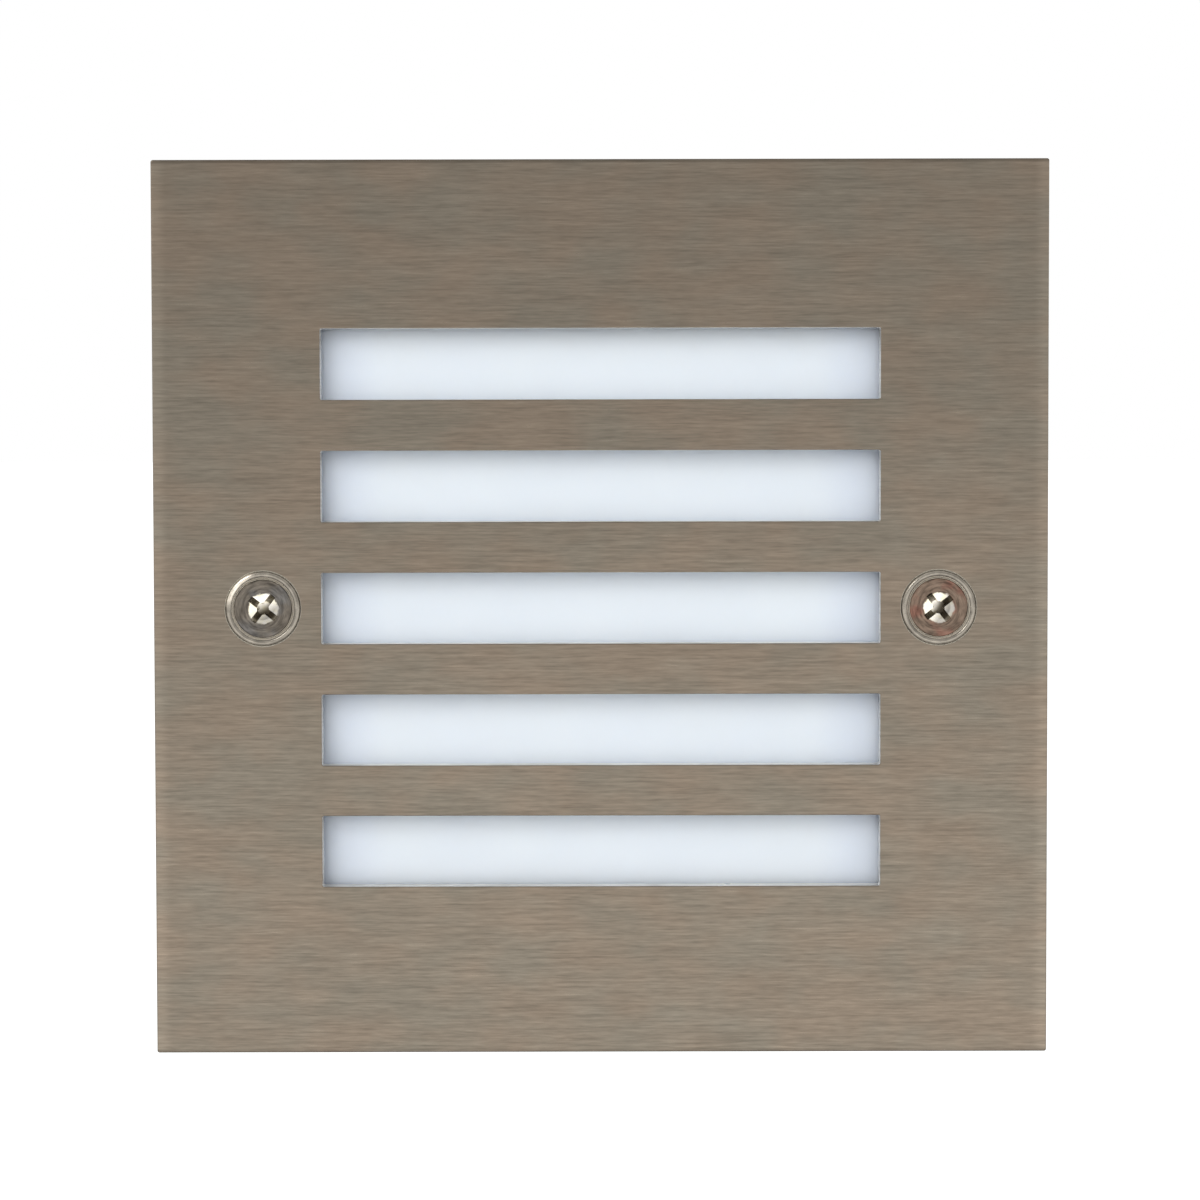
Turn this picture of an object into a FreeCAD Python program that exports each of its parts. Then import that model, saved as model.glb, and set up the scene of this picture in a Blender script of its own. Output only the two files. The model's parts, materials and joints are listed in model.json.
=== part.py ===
# A square recessed step light.
#
# A brushed stainless face plate with a ladder of level light slots is held by
# two countersunk screws to a moulded box that sits in the wall.  An opal
# diffuser is clamped behind the plate.  The box holds a white reflector, a
# board of LEDs on a folded aluminium tray, a mains driver, a terminal block
# and a cable gland.
#
# Millimetres.  X runs to the right as seen from the front, Y runs into the
# wall and Z runs up.  The origin is the centre of the cut-out, in the plane of
# the wall's face, so what shows of the light stands at negative Y.

import FreeCAD, Part

import math
import os

from FreeCAD import Vector

INTO_WALL = Vector(0, 1, 0)
MIRRORED = (-1, 1)  # the two sides of anything that is made in pairs
HAIR = 1e-6  # how far off a plane an edge may lie and still count as on it

# ---------------------------------------------------------------- main sizes
PLATE_WIDTH = 140.0
PLATE_HEIGHT = 140.0
BOX_DEPTH = 62.0  # behind the wall's face
SLOT_COUNT = 5

# ----------------------------------------- plate, gasket, flange and box (XZ)
PLATE_OVERHANG = 3.5
PLATE_CORNER_RADIUS = 0.35
PLATE_EDGE_RADIUS = 0.25
FLANGE_WIDTH = 6.5
FLANGE_CORNER_RADIUS = 3.0
BOX_WALL = 2.5
BOX_INNER_CORNER_RADIUS = 2.5
BOX_CORNER_RADIUS = BOX_INNER_CORNER_RADIUS + BOX_WALL
BOX_BACK = 2.5
KEY_RIB_COUNT = 3
KEY_RIB_HEIGHT = 1.5
KEY_RIB_WIDTH = 2.0
KEY_RIB_PITCH = 10.0
KNOCKOUT_DIAMETER = 20.0
KNOCKOUT_SCORE = 0.7
KNOCKOUT_SCORE_WIDTH = 0.8
PLATE_HALF_WIDTH = PLATE_WIDTH / 2
PLATE_HALF_HEIGHT = PLATE_HEIGHT / 2
FLANGE_HALF_WIDTH = PLATE_HALF_WIDTH - PLATE_OVERHANG
FLANGE_HALF_HEIGHT = PLATE_HALF_HEIGHT - PLATE_OVERHANG
BOX_HALF_WIDTH = FLANGE_HALF_WIDTH - FLANGE_WIDTH
BOX_HALF_HEIGHT = FLANGE_HALF_HEIGHT - FLANGE_WIDTH
BOX_INNER_HALF_WIDTH = BOX_HALF_WIDTH - BOX_WALL
BOX_INNER_HALF_HEIGHT = BOX_HALF_HEIGHT - BOX_WALL

# ------------------------------------------------ face screws and their seats
THREAD_DIAMETER = 4.9
THREAD_PITCH = 0.8
THREAD_DEPTH = 0.4
SCREW_LENGTH = 20.0
SCREW_HEAD_DIAMETER = 9.3
SCREW_HEAD_RIM = 0.3
SCREW_HEAD_EDGE = 0.2
SCREW_PLAIN_NECK = 1.0
RECESS_WIDTH = 5.2
RECESS_ARM = 1.0
RECESS_DEPTH = 2.4
RECESS_FLOOR_WIDTH = 2.2
RECESS_HEART_WIDTH = 1.9
RECESS_TURNS = {"left": 38.0, "right": 52.0}  # how far each cross is turned, in degrees
HEAD_GAP = 0.15  # along the screw, between its head's cone and the cup washer
CUP_RING_CLEARANCE = 0.25
CUP_RING_WIDTH = 0.9
CUP_RING_HEIGHT = 0.45
CUP_RIM_SHARE = 1 / 3  # of the ring's height that is upright, below its crown
CUP_SHANK_CLEARANCE = 0.3
CUP_SEAT_GAP = 0.15
CUP_RING_INNER = SCREW_HEAD_DIAMETER + 2 * CUP_RING_CLEARANCE
CUP_RING_OUTER = CUP_RING_INNER + 2 * CUP_RING_WIDTH
CUP_DEPTH = (CUP_RING_INNER - THREAD_DIAMETER) / 2 - CUP_SHANK_CLEARANCE
GASKET_HOLE_CLEARANCE = 0.55
GASKET_SCREW_HOLE = THREAD_DIAMETER + 2 * GASKET_HOLE_CLEARANCE
INSERT_CLEARANCE = 0.1
INSERT_WALL = 0.65
INSERT_BORE = THREAD_DIAMETER + 2 * INSERT_CLEARANCE
INSERT_DIAMETER = INSERT_BORE + 2 * INSERT_WALL
INSERT_LENGTH = 10.0
INSERT_SINK = 0.5
INSERT_GROOVE = 0.35
BOSS_INNER_WALL = 1.2
BOSS_OUTER_WALL = 1.4
BOSS_HEIGHT = 15.0
BOSS_FLOOR = 3.0
BOSS_CORNER_RADIUS = 0.5
TIP_ROOM = 1.5
SCREW_X = BOX_INNER_HALF_WIDTH - BOSS_OUTER_WALL - INSERT_DIAMETER / 2

# ------------------------------------------- diffuser and what clamps it (XZ)
STUD_DIAMETER = 2.9
STUD_THREAD_PITCH = 0.5
STUD_FOOT_DIAMETER = 4.6
STUD_FOOT_HEIGHT = 0.7
STUD_CLEARANCE = 0.25
STUD_HOLE_DIAMETER = STUD_DIAMETER + 2 * STUD_CLEARANCE
STUD_WASHER_DIAMETER = 7.0
STUD_NUT_ACROSS_FLATS = 5.5
EAR_WIDTH = 12.0
EAR_MARGIN = 0.1  # of the ear past the washer on it
EAR_LENGTH = STUD_WASHER_DIAMETER + 2 * EAR_MARGIN
EAR_CORNER_RADIUS = 2.0
EAR_TO_BOX = 2.6
RETAINER_TO_BOSS = 0.8
RETAINER_CLEARANCE = 0.2
RETAINER_WALL = 1.0
RETAINER_LIP_WIDTH = 3.0  # what the retainer covers of the diffuser's back
RETAINER_CORNER_RADIUS = 2.5
RETAINER_HALF_WIDTH = SCREW_X - INSERT_DIAMETER / 2 - BOSS_INNER_WALL - RETAINER_TO_BOSS
RETAINER_HALF_HEIGHT = BOX_INNER_HALF_HEIGHT - EAR_TO_BOX - EAR_LENGTH
STUD_SPACING = 60.0
STUD_Z = RETAINER_HALF_HEIGHT + EAR_LENGTH / 2
DIFFUSER_EDGE_RADIUS = 0.4
DIFFUSER_HALF_WIDTH = RETAINER_HALF_WIDTH - RETAINER_WALL - RETAINER_CLEARANCE
DIFFUSER_HALF_HEIGHT = RETAINER_HALF_HEIGHT - RETAINER_WALL - RETAINER_CLEARANCE
SEAL_WIDTH = 2.25
SEAL_CORNER_RADIUS = 1.5
SEAL_SETBACK = 0.5  # from the slots' ends to the seal, so that no seal shows

# ---------------------------------------------------------------- light slots
BAR_HEIGHT = 8.0
SLOT_CORNER_RADIUS = 0.25
SLOT_EDGE_BREAK = 0.2
SLOT_FIELD_HALF_WIDTH = DIFFUSER_HALF_WIDTH - SEAL_WIDTH - SEAL_SETBACK
SLOT_FIELD_HALF_HEIGHT = DIFFUSER_HALF_HEIGHT - SEAL_WIDTH - SEAL_SETBACK
SLOT_LENGTH = 2 * SLOT_FIELD_HALF_WIDTH
SLOT_HEIGHT = (2 * SLOT_FIELD_HALF_HEIGHT - (SLOT_COUNT - 1) * BAR_HEIGHT) / SLOT_COUNT
SLOT_PITCH = SLOT_HEIGHT + BAR_HEIGHT

# --------------------------------------- the layers, from the wall's face out
FLANGE_THICKNESS = 2.0
GASKET_THICKNESS = 2.0
PLATE_THICKNESS = 3.0
FLANGE_FRONT = -FLANGE_THICKNESS
PLATE_REAR = FLANGE_FRONT - GASKET_THICKNESS
PLATE_FRONT = PLATE_REAR - PLATE_THICKNESS

# ----------------------------------------- and from the plate's rear face in
SEAL_THICKNESS = 2.0
DIFFUSER_THICKNESS = 3.0
RETAINER_LIP = 2.0
STUD_WASHER_THICKNESS = 0.5
STUD_NUT_THICKNESS = 2.4
STUD_PAST_NUT = 1.6
REFLECTOR_GAP = 2.0
REFLECTOR_DEPTH = 17.0
REFLECTOR_FLANGE = 1.5
LED_BOARD_THICKNESS = 1.6
TRAY_THICKNESS = 2.0
DRIVER_WALL = 1.5
DRIVER_LID = 1.5
DRIVER_STANDOFF = 3.0
DRIVER_BOARD_THICKNESS = 1.6
TRANSFORMER_SIZE = (15.0, 12.0, 17.0)
TRANSFORMER_X = 4.0
# Each capacitor's side, how far in from the board's end it stands, its height
# above the board's middle line, its radius and its length.
CAPACITORS = ((-1, 12.0, 4.0, 4.5, 12.0), (-1, 12.0, -7.0, 3.5, 9.5), (1, 9.0, 4.0, 4.0, 11.0))
DRIVER_CONTENTS = max([TRANSFORMER_SIZE[1]] + [can[4] for can in CAPACITORS])
DRIVER_ROOM = 2.4  # from the tallest thing on the driver's board to its lid
DRIVER_INNER_DEPTH = DRIVER_STANDOFF + DRIVER_BOARD_THICKNESS + DRIVER_CONTENTS + DRIVER_ROOM
DRIVER_DEPTH = DRIVER_WALL + DRIVER_INNER_DEPTH + DRIVER_LID
DIFFUSER_FRONT = PLATE_REAR + SEAL_THICKNESS
DIFFUSER_REAR = DIFFUSER_FRONT + DIFFUSER_THICKNESS
RETAINER_REAR = DIFFUSER_REAR + RETAINER_LIP
REFLECTOR_FRONT = RETAINER_REAR + REFLECTOR_GAP
LED_BOARD_FRONT = REFLECTOR_FRONT + REFLECTOR_DEPTH
TRAY_FRONT = LED_BOARD_FRONT + LED_BOARD_THICKNESS
TRAY_REAR = TRAY_FRONT + TRAY_THICKNESS
BOX_REAR = BOX_DEPTH
BOX_FLOOR = BOX_REAR - BOX_BACK

# ------------------------------------------------------ reflector and LEDs
REFLECTOR_WALL = 1.4
REFLECTOR_SETBACK = 2.0  # from the diffuser's edge in to the reflector's mouth
REFLECTOR_TAPER = 4.5
REFLECTOR_CORNER_RADIUS = 4.0
REFLECTOR_WINDOW_SETBACK = 6.5
REFLECTOR_MOUTH_HALF_WIDTH = DIFFUSER_HALF_WIDTH - REFLECTOR_SETBACK
REFLECTOR_MOUTH_HALF_HEIGHT = DIFFUSER_HALF_HEIGHT - REFLECTOR_SETBACK
REFLECTOR_FOOT_HALF_WIDTH = REFLECTOR_MOUTH_HALF_WIDTH - REFLECTOR_TAPER
REFLECTOR_FOOT_HALF_HEIGHT = REFLECTOR_MOUTH_HALF_HEIGHT - REFLECTOR_TAPER
REFLECTOR_WINDOW_HALF_WIDTH = REFLECTOR_FOOT_HALF_WIDTH - REFLECTOR_WINDOW_SETBACK
REFLECTOR_WINDOW_HALF_HEIGHT = REFLECTOR_FOOT_HALF_HEIGHT - REFLECTOR_WINDOW_SETBACK
REFLECTOR_SCREW_GAP = 0.5  # from the screws' heads to the walls beside them
LED_BOARD_MARGIN = 1.0
LED_BOARD_HALF_WIDTH = REFLECTOR_FOOT_HALF_WIDTH + LED_BOARD_MARGIN
LED_BOARD_HALF_HEIGHT = REFLECTOR_FOOT_HALF_HEIGHT + LED_BOARD_MARGIN
LED_BOARD_CORNER_RADIUS = 2.0
LED_COLUMNS = 4
LED_ROWS = 4
LED_SETBACK = 6.5  # from the reflector's window in to the outer LEDs
LED_PITCH_X = 2 * (REFLECTOR_WINDOW_HALF_WIDTH - LED_SETBACK) / (LED_COLUMNS - 1)
LED_PITCH_Z = 2 * (REFLECTOR_WINDOW_HALF_HEIGHT - LED_SETBACK) / (LED_ROWS - 1)
LED_WIDTH = 3.5
LED_HEIGHT = 2.8
LED_THICKNESS = 0.7
LED_PHOSPHOR_MARGIN = 0.45
LED_PHOSPHOR_THICKNESS = 0.08
LEAD_DIAMETER = 2.0
LEAD_GAP = 1.0
LEAD_SPACING = LEAD_DIAMETER + LEAD_GAP
LEAD_CLEARANCE = 0.15
ARC_SHARE = 0.45  # how much of the shorter run beside it a lead's bend takes up
CONNECTOR_WALL = 1.5
CONNECTOR_WIDTH = LEAD_SPACING + LEAD_DIAMETER + 2 * CONNECTOR_WALL
CONNECTOR_DEPTH = 3.6
CONNECTOR_HEIGHT = 7.0
CONNECTOR_CORNER_RADIUS = 0.5
CONNECTOR_Z = -LED_PITCH_Z * (LED_ROWS / 2 - 1)  # midway between the two lowest rows
BUSHING_CLEARANCE = 0.8
BUSHING_WALL = 0.9
BUSHING_LIP = 1.3
BUSHING_LIP_THICKNESS = 1.2
BUSHING_LIP_CHAMFER = 0.4
BUSHING_BORE = LEAD_SPACING + LEAD_DIAMETER + 2 * BUSHING_CLEARANCE
BUSHING_OUTER = BUSHING_BORE + 2 * BUSHING_WALL

# ------------------------------------------------------------------ gear tray
TRAY_MARGIN = 3.0  # of the tray past the LED board
TRAY_HALF_WIDTH = LED_BOARD_HALF_WIDTH + TRAY_MARGIN
TRAY_HALF_HEIGHT = LED_BOARD_HALF_HEIGHT + TRAY_MARGIN
TRAY_CORNER_RADIUS = 2.0
TRAY_FOLD_RADIUS = 1.8
TRAY_FLANGE_DEPTH = 9.0
TRAY_FLANGE_END = 10.0  # how far the folded flanges stop short of the tray's ends
TRAY_EAR_OUTWARD = 6.0
TRAY_EAR_INWARD = 12.0
POST_TO_WALL = 9.5
POST_X = BOX_INNER_HALF_WIDTH - POST_TO_WALL
POST_Z = BOX_INNER_HALF_HEIGHT - POST_TO_WALL
POST_DIAMETER = 8.0
POST_WEB = 1.6

# --------------------------------------------------------- screws in the box
SCREW_CLEARANCE = 0.1  # around each shank, in its hole
THREAD_FLANKS = (0.35, 0.5, 0.85)  # where a thread's crest starts and ends, and its root
M3_SHANK, M3_HEAD, M3_HEAD_HEIGHT = 2.9, 5.5, 1.9
M3_HOLE = M3_SHANK + 2 * SCREW_CLEARANCE
M3_TIP_GAP = 0.3  # from a screw's tip to the far side of the tray
REFLECTOR_SCREW_LENGTH = REFLECTOR_FLANGE + LED_BOARD_THICKNESS + TRAY_THICKNESS - M3_TIP_GAP
REFLECTOR_SCREW_INSET = REFLECTOR_WALL + M3_HEAD / 2 + REFLECTOR_SCREW_GAP
REFLECTOR_SCREW_X = REFLECTOR_FOOT_HALF_WIDTH - REFLECTOR_SCREW_INSET
REFLECTOR_SCREW_Z = REFLECTOR_FOOT_HALF_HEIGHT - REFLECTOR_SCREW_INSET
TRAY_SCREW_SHANK, TRAY_SCREW_HEAD, TRAY_SCREW_HEAD_HEIGHT = 3.4, 6.6, 2.4
TRAY_SCREW_LENGTH = 12.0
TRAY_SCREW_HOLE = TRAY_SCREW_SHANK + 2 * SCREW_CLEARANCE
POST_HOLE_SPARE = 4.0  # of a post's hole past its screw's tip
POST_HOLE_DEPTH = TRAY_SCREW_LENGTH - TRAY_THICKNESS + POST_HOLE_SPARE
PAN_CROWN_SHARE = 0.56  # of a pan head's width that is flat
PAN_SIDE_SHARE = 0.45  # of a pan head's height that is upright
PAN_RECESS_DEPTH_SHARE = 0.6
PAN_RECESS_WIDTH_SHARE = 0.55
SCREW_POINT_SHARE = 0.4  # of a shank's diameter that its point takes up
SCREW_TURNS = (12.0, 31.0, 48.0, 66.0)  # how the cross of each screw in a set stands

# --------------------------------------------------------------------- driver
DRIVER_EAR_LENGTH = 9.0
DRIVER_EAR_WIDTH = 12.0
DRIVER_EAR_THICKNESS = 2.0
DRIVER_EAR_SETBACK = 1.0  # from the tray's edge
DRIVER_HALF_WIDTH = TRAY_HALF_WIDTH - DRIVER_EAR_SETBACK - DRIVER_EAR_LENGTH
DRIVER_TO_FLANGE = 8.0  # from the driver up to the tray's upper flange
DRIVER_CORNER_RADIUS = 2.0
DRIVER_LID_LIP = 2.0
DRIVER_LID_CLEARANCE = 0.15
DRIVER_BOARD_GAP = 0.5
DRIVER_STANDOFF_DIAMETER = 3.0
DRIVER_STANDOFF_INSET = 3.5
LEAD_DROP = 16.0  # from the driver down to the hole that the leads pass forward through
DRIVER_BOTTOM = CONNECTOR_Z + LEAD_DROP
DRIVER_TOP = TRAY_HALF_HEIGHT - TRAY_THICKNESS - DRIVER_TO_FLANGE
DRIVER_HALF_HEIGHT = (DRIVER_TOP - DRIVER_BOTTOM) / 2
DRIVER_Z = (DRIVER_TOP + DRIVER_BOTTOM) / 2
DRIVER_SCREW_X = DRIVER_HALF_WIDTH + DRIVER_EAR_LENGTH / 2
DRIVER_SCREW_LENGTH = DRIVER_EAR_THICKNESS + TRAY_THICKNESS - M3_TIP_GAP
DRIVER_BOARD_REAR = TRAY_REAR + DRIVER_WALL + DRIVER_STANDOFF + DRIVER_BOARD_THICKNESS
CAN_EDGE_RADIUS = 0.5
CORE_OVERLAP = 1.2

# ------------------------------------------------------------- terminal block
POLE_COUNT = 3
POLE_PITCH = 12.0
TERMINAL_HEIGHT = 20.0
TERMINAL_DEPTH = 15.0
TERMINAL_END_WALL = 1.2
TERMINAL_EDGE_RADIUS = 0.8
TERMINAL_PAD_HEIGHT = 2.5
TERMINAL_PAD_DIAMETER = 7.0
TERMINAL_DROP = 18.0  # from the driver down to the terminal block
SUPPLY_BEND_SHARE = 0.3  # of that drop, above the supply leads' upper bend
SUPPLY_ENTRY_SHARE = 0.15  # of that drop, below their lower bend
TERMINAL_TOP = DRIVER_BOTTOM - TERMINAL_DROP
TERMINAL_Z = TERMINAL_TOP - TERMINAL_HEIGHT / 2
TERMINAL_HALF_WIDTH = POLE_COUNT * POLE_PITCH / 2 + TERMINAL_END_WALL
CLAMP_BORE = 4.0
CLAMP_WALL = 1.0
CLAMP_DIAMETER = CLAMP_BORE + 2 * CLAMP_WALL
CLAMP_INSET = 1.0
CLAMP_SCREW_DIAMETER = 2.9
CLAMP_SCREW_SPACING = 9.0
CLAMP_SCREW_LENGTH = 6.0
CLAMP_SCREW_WELL = 3.8
CLAMP_SCREW_SLOT_WIDTH = 0.6
CLAMP_SCREW_SLOT_DEPTH = 0.7
TERMINAL_FIX_SHANK, TERMINAL_FIX_HEAD, TERMINAL_FIX_HEAD_HEIGHT = 2.7, 4.6, 1.6
TERMINAL_FIX_HOLE = TERMINAL_FIX_SHANK + 2 * SCREW_CLEARANCE
TERMINAL_FIX_HEAD_CLEARANCE = 0.15
TERMINAL_FIX_WELL = TERMINAL_FIX_HEAD + 2 * TERMINAL_FIX_HEAD_CLEARANCE
TERMINAL_FIX_FLOOR = 5.0  # what the block has under those screws' heads
TERMINAL_FIX_BITE = 3.5  # how far they go into the box
TERMINAL_REAR = BOX_FLOOR - TERMINAL_PAD_HEIGHT
TERMINAL_FRONT = TERMINAL_REAR - TERMINAL_DEPTH
TERMINAL_FIX_SEAT = TERMINAL_REAR - TERMINAL_FIX_FLOOR
CLAMP_Y = (TERMINAL_FRONT + TERMINAL_REAR) / 2

# -------------------------------------------------- cable entries in the back
ENTRY_X = (TERMINAL_HALF_WIDTH + BOX_INNER_HALF_WIDTH) / 2  # midway from block to wall
ENTRY_Z = TERMINAL_Z
ENTRY_THREAD = 19.8
ENTRY_THREAD_PITCH = 1.5
ENTRY_THREAD_DEPTH = 0.6
ENTRY_CLEARANCE = 0.25
ENTRY_HOLE = ENTRY_THREAD + 2 * ENTRY_CLEARANCE
ENTRY_HEX_MARGIN = 2.1
ENTRY_HEX = ENTRY_THREAD + 2 * ENTRY_HEX_MARGIN  # across the flats
ENTRY_WASHER_MARGIN = 0.5
ENTRY_WASHER_DIAMETER = ENTRY_HEX + 2 * ENTRY_WASHER_MARGIN
ENTRY_WASHER_THICKNESS = 1.5
ENTRY_WASHER_REAR = BOX_REAR + ENTRY_WASHER_THICKNESS
ENTRY_RING_CLEARANCE = 0.5
ENTRY_RING_WIDTH = 1.2
ENTRY_RING_HEIGHT = 1.0
LOCKNUT_THICKNESS = 5.0
THREAD_PAST_LOCKNUT = 1.5
ENTRY_THREAD_FRONT = BOX_FLOOR - LOCKNUT_THICKNESS - THREAD_PAST_LOCKNUT
PLUG_HEAD_THICKNESS = 4.0
PLUG_SLOT_LENGTH, PLUG_SLOT_WIDTH, PLUG_SLOT_DEPTH = 14.0, 1.5, 2.4
GLAND_HEX_THICKNESS = 5.0
GLAND_NECK_LENGTH = 9.0
GLAND_NECK_FRONT = ENTRY_WASHER_REAR + GLAND_HEX_THICKNESS
GLAND_NECK_REAR = GLAND_NECK_FRONT + GLAND_NECK_LENGTH
GLAND_FIT = 0.1
GLAND_SOCKET_WALL = 1.8
GLAND_SOCKET_DEPTH = 10.0
GLAND_SHOULDER = 1.2
GLAND_SOCKET = ENTRY_THREAD - 2 * ENTRY_THREAD_DEPTH - 2 * GLAND_SOCKET_WALL
GLAND_BORE = GLAND_SOCKET - 2 * GLAND_SHOULDER
GLAND_SEAL_BORE = 8.0
GLAND_SEAL_PROUD = 3.0
GLAND_SEAL_TIP_WALL = 0.8
GLAND_SEAL_FRONT = GLAND_NECK_REAR - GLAND_SOCKET_DEPTH
GLAND_SEAL_REAR = GLAND_NECK_REAR + GLAND_SEAL_PROUD
GLAND_SEAL_RADIUS = GLAND_SOCKET / 2 - GLAND_FIT
GLAND_SEAL_TAPER = GLAND_SEAL_RADIUS - GLAND_SEAL_BORE / 2 - GLAND_SEAL_TIP_WALL
GLAND_NUT_GAP = 1.0
GLAND_NUT_CAP = 9.0  # of the nut past the gland's neck
GLAND_NUT_DOME = 6.0
GLAND_NUT_CHAMFER = 0.3
CROWN_WIDTH_SHARE = 0.96  # how wide the nut's dome still is, of its base,
CROWN_HEIGHT_SHARE = 0.4  # at this share of the dome's height
GLAND_MOUTH_MARGIN = 2.0
GLAND_MOUTH_WALL = 2.0
GLAND_MOUTH = GLAND_SEAL_BORE + 2 * GLAND_MOUTH_MARGIN
FIXING_SPACING = 80.0
FIXING_Z = 2.0
FIXING_SLOT_WIDTH = 4.5
FIXING_SLOT_LENGTH = 9.0


# =================================================================== geometry
def rounded_outline(half_width, half_height, radius, y, x=0.0, z=0.0):
    """A closed wire: a rectangle with round corners, square to Y."""
    corner = radius * (1 - math.sqrt(0.5))
    edges = []
    turns = [(1, 1), (-1, 1), (-1, -1), (1, -1)]
    for number, (sx, sz) in enumerate(turns):
        side = Vector(x + sx * half_width, y, z + sz * (half_height - radius))
        top = Vector(x + sx * (half_width - radius), y, z + sz * half_height)
        middle = Vector(x + sx * (half_width - corner), y, z + sz * (half_height - corner))
        first, last = (side, top) if number % 2 == 0 else (top, side)
        if edges:
            edges.append(Part.LineSegment(edges[-1].EndPoint, first))
        edges.append(Part.Arc(first, middle, last))
    edges.append(Part.LineSegment(edges[-1].EndPoint, edges[0].StartPoint))
    return Part.Wire([edge.toShape() for edge in edges])


def slab(half_width, half_height, radius, y_front, y_rear, x=0.0, z=0.0):
    """A plate with round corners, from y_front to y_rear."""
    face = Part.Face(rounded_outline(half_width, half_height, radius, y_front, x, z))
    return face.extrude(INTO_WALL * (y_rear - y_front))


def block(x_from, x_to, y_from, y_to, z_from, z_to):
    """A plain box between six planes."""
    size = (x_to - x_from, y_to - y_from, z_to - z_from)
    return Part.makeBox(*size, Vector(x_from, y_from, z_from))


def rod(x, z, diameter, y_from, y_to):
    """A round bar along Y."""
    return Part.makeCylinder(diameter / 2, y_to - y_from, Vector(x, y_from, z), INTO_WALL)


def ring(x, z, outer, inner, y_from, y_to):
    """A flat ring, square to Y."""
    return rod(x, z, outer, y_from, y_to).cut(rod(x, z, inner, y_from, y_to))


def oblong(x, z, length, width, y_from, y_to):
    """A bar along Y whose section is a slot with round ends, its length along X."""
    reach = (length - width) / 2
    middle = block(x - reach, x + reach, y_from, y_to, z - width / 2, z + width / 2)
    ends = [rod(x + side * reach, z, width, y_from, y_to) for side in MIRRORED]
    return middle.fuse(ends).removeSplitter()


def hexagon(x, z, across_flats, y_from, y_to):
    """A six-sided bar along Y, flats at left and right."""
    reach = across_flats / math.sqrt(3)
    angles = [math.radians(30 + 60 * k) for k in range(7)]
    points = [Vector(x + reach * math.cos(a), y_from, z + reach * math.sin(a)) for a in angles]
    face = Part.Face(Part.makePolygon(points))
    return face.extrude(INTO_WALL * (y_to - y_from))


def turned(profile, x=0.0, z=0.0):
    """A solid turned about a line along Y, from a closed profile of (radius, y) points."""
    points = [Vector(x + r, y, z) for r, y in profile]
    face = Part.Face(Part.makePolygon(points + points[:1]))
    return face.revolve(Vector(x, 0, z), INTO_WALL, 360)


def threaded_side(diameter, depth, pitch, y_from, y_to):
    """The (radius, y) points down the side of a thread, drawn as rings at its pitch."""
    crest, root = diameter / 2, diameter / 2 - depth
    points = [(root, y_from)]
    for number in range(int((y_to - y_from) / pitch)):
        places = [y_from + (number + share) * pitch for share in THREAD_FLANKS]
        points += zip((crest, crest, root), places)
    return points + [(root, y_to)]


def round_edges(shape, radius, wanted):
    """Rounds the edges that wanted(edge) picks."""
    return shape.makeFillet(radius, [edge for edge in shape.Edges if wanted(edge)])


def lies_at(y):
    """A test for edges that lie in the plane at y."""
    return lambda edge: edge.BoundBox.YLength < HAIR and abs(edge.BoundBox.YMin - y) < HAIR


def cross_recess(x, z, width, arm, floor_width, heart, y_top, depth, turn=0.0):
    """The tapered cross that a screwdriver fits."""
    top, floor = y_top, y_top + depth
    taper = Part.makeCone(width / 2, floor_width / 2, depth, Vector(x, top, z), INTO_WALL)
    arms = [block(x - width, x + width, top, floor, z - arm / 2, z + arm / 2)]
    arms.append(block(x - arm / 2, x + arm / 2, top, floor, z - width, z + width))
    arms.append(Part.makeCone(heart / 2, arm / 2, depth, Vector(x, top, z), INTO_WALL))
    shape = arms[0].fuse(arms[1:]).common(taper)
    shape.rotate(Vector(x, 0, z), INTO_WALL, turn)
    return shape


def pan_screw(x, z, shank, head, head_height, y_seat, length, turn=0.0):
    """A pan-head screw whose head sits on y_seat and whose shank runs into the wall."""
    top = y_seat - head_height
    side = y_seat - head_height * PAN_SIDE_SHARE
    crown = head / 2 * PAN_CROWN_SHARE
    point = shank * SCREW_POINT_SHARE
    profile = [(0, top), (crown, top), ((head / 2 + crown) / 2, (3 * top + side) / 4)]
    profile += [(head / 2, side), (head / 2, y_seat), (shank / 2, y_seat)]
    profile += [(shank / 2, y_seat + length - point), (point / 2, y_seat + length)]
    profile += [(0, y_seat + length)]
    depth = head_height * PAN_RECESS_DEPTH_SHARE
    width = head * PAN_RECESS_WIDTH_SHARE
    arm, floor_width = width / 4, width / 2
    recess = cross_recess(x, z, width, arm, floor_width, floor_width, top, depth, turn)
    return turned(profile, x, z).cut(recess)


def rear_screw(x, z, shank, head, head_height, y_seat, length, turn=0.0):
    """A pan-head screw put in from behind: its shank runs towards the front."""
    screw = pan_screw(x, z, shank, head, head_height, y_seat, length, turn)
    screw.rotate(Vector(x, y_seat, z), Vector(0, 0, 1), 180)
    return screw


def group(shapes):
    """Several separate solids as one piece."""
    return Part.makeCompound([solid for shape in shapes for solid in shape.Solids])


def corners(x, z):
    """Four places, one in each quarter."""
    return [(side_x * x, side_z * z) for side_x in MIRRORED for side_z in MIRRORED]


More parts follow.
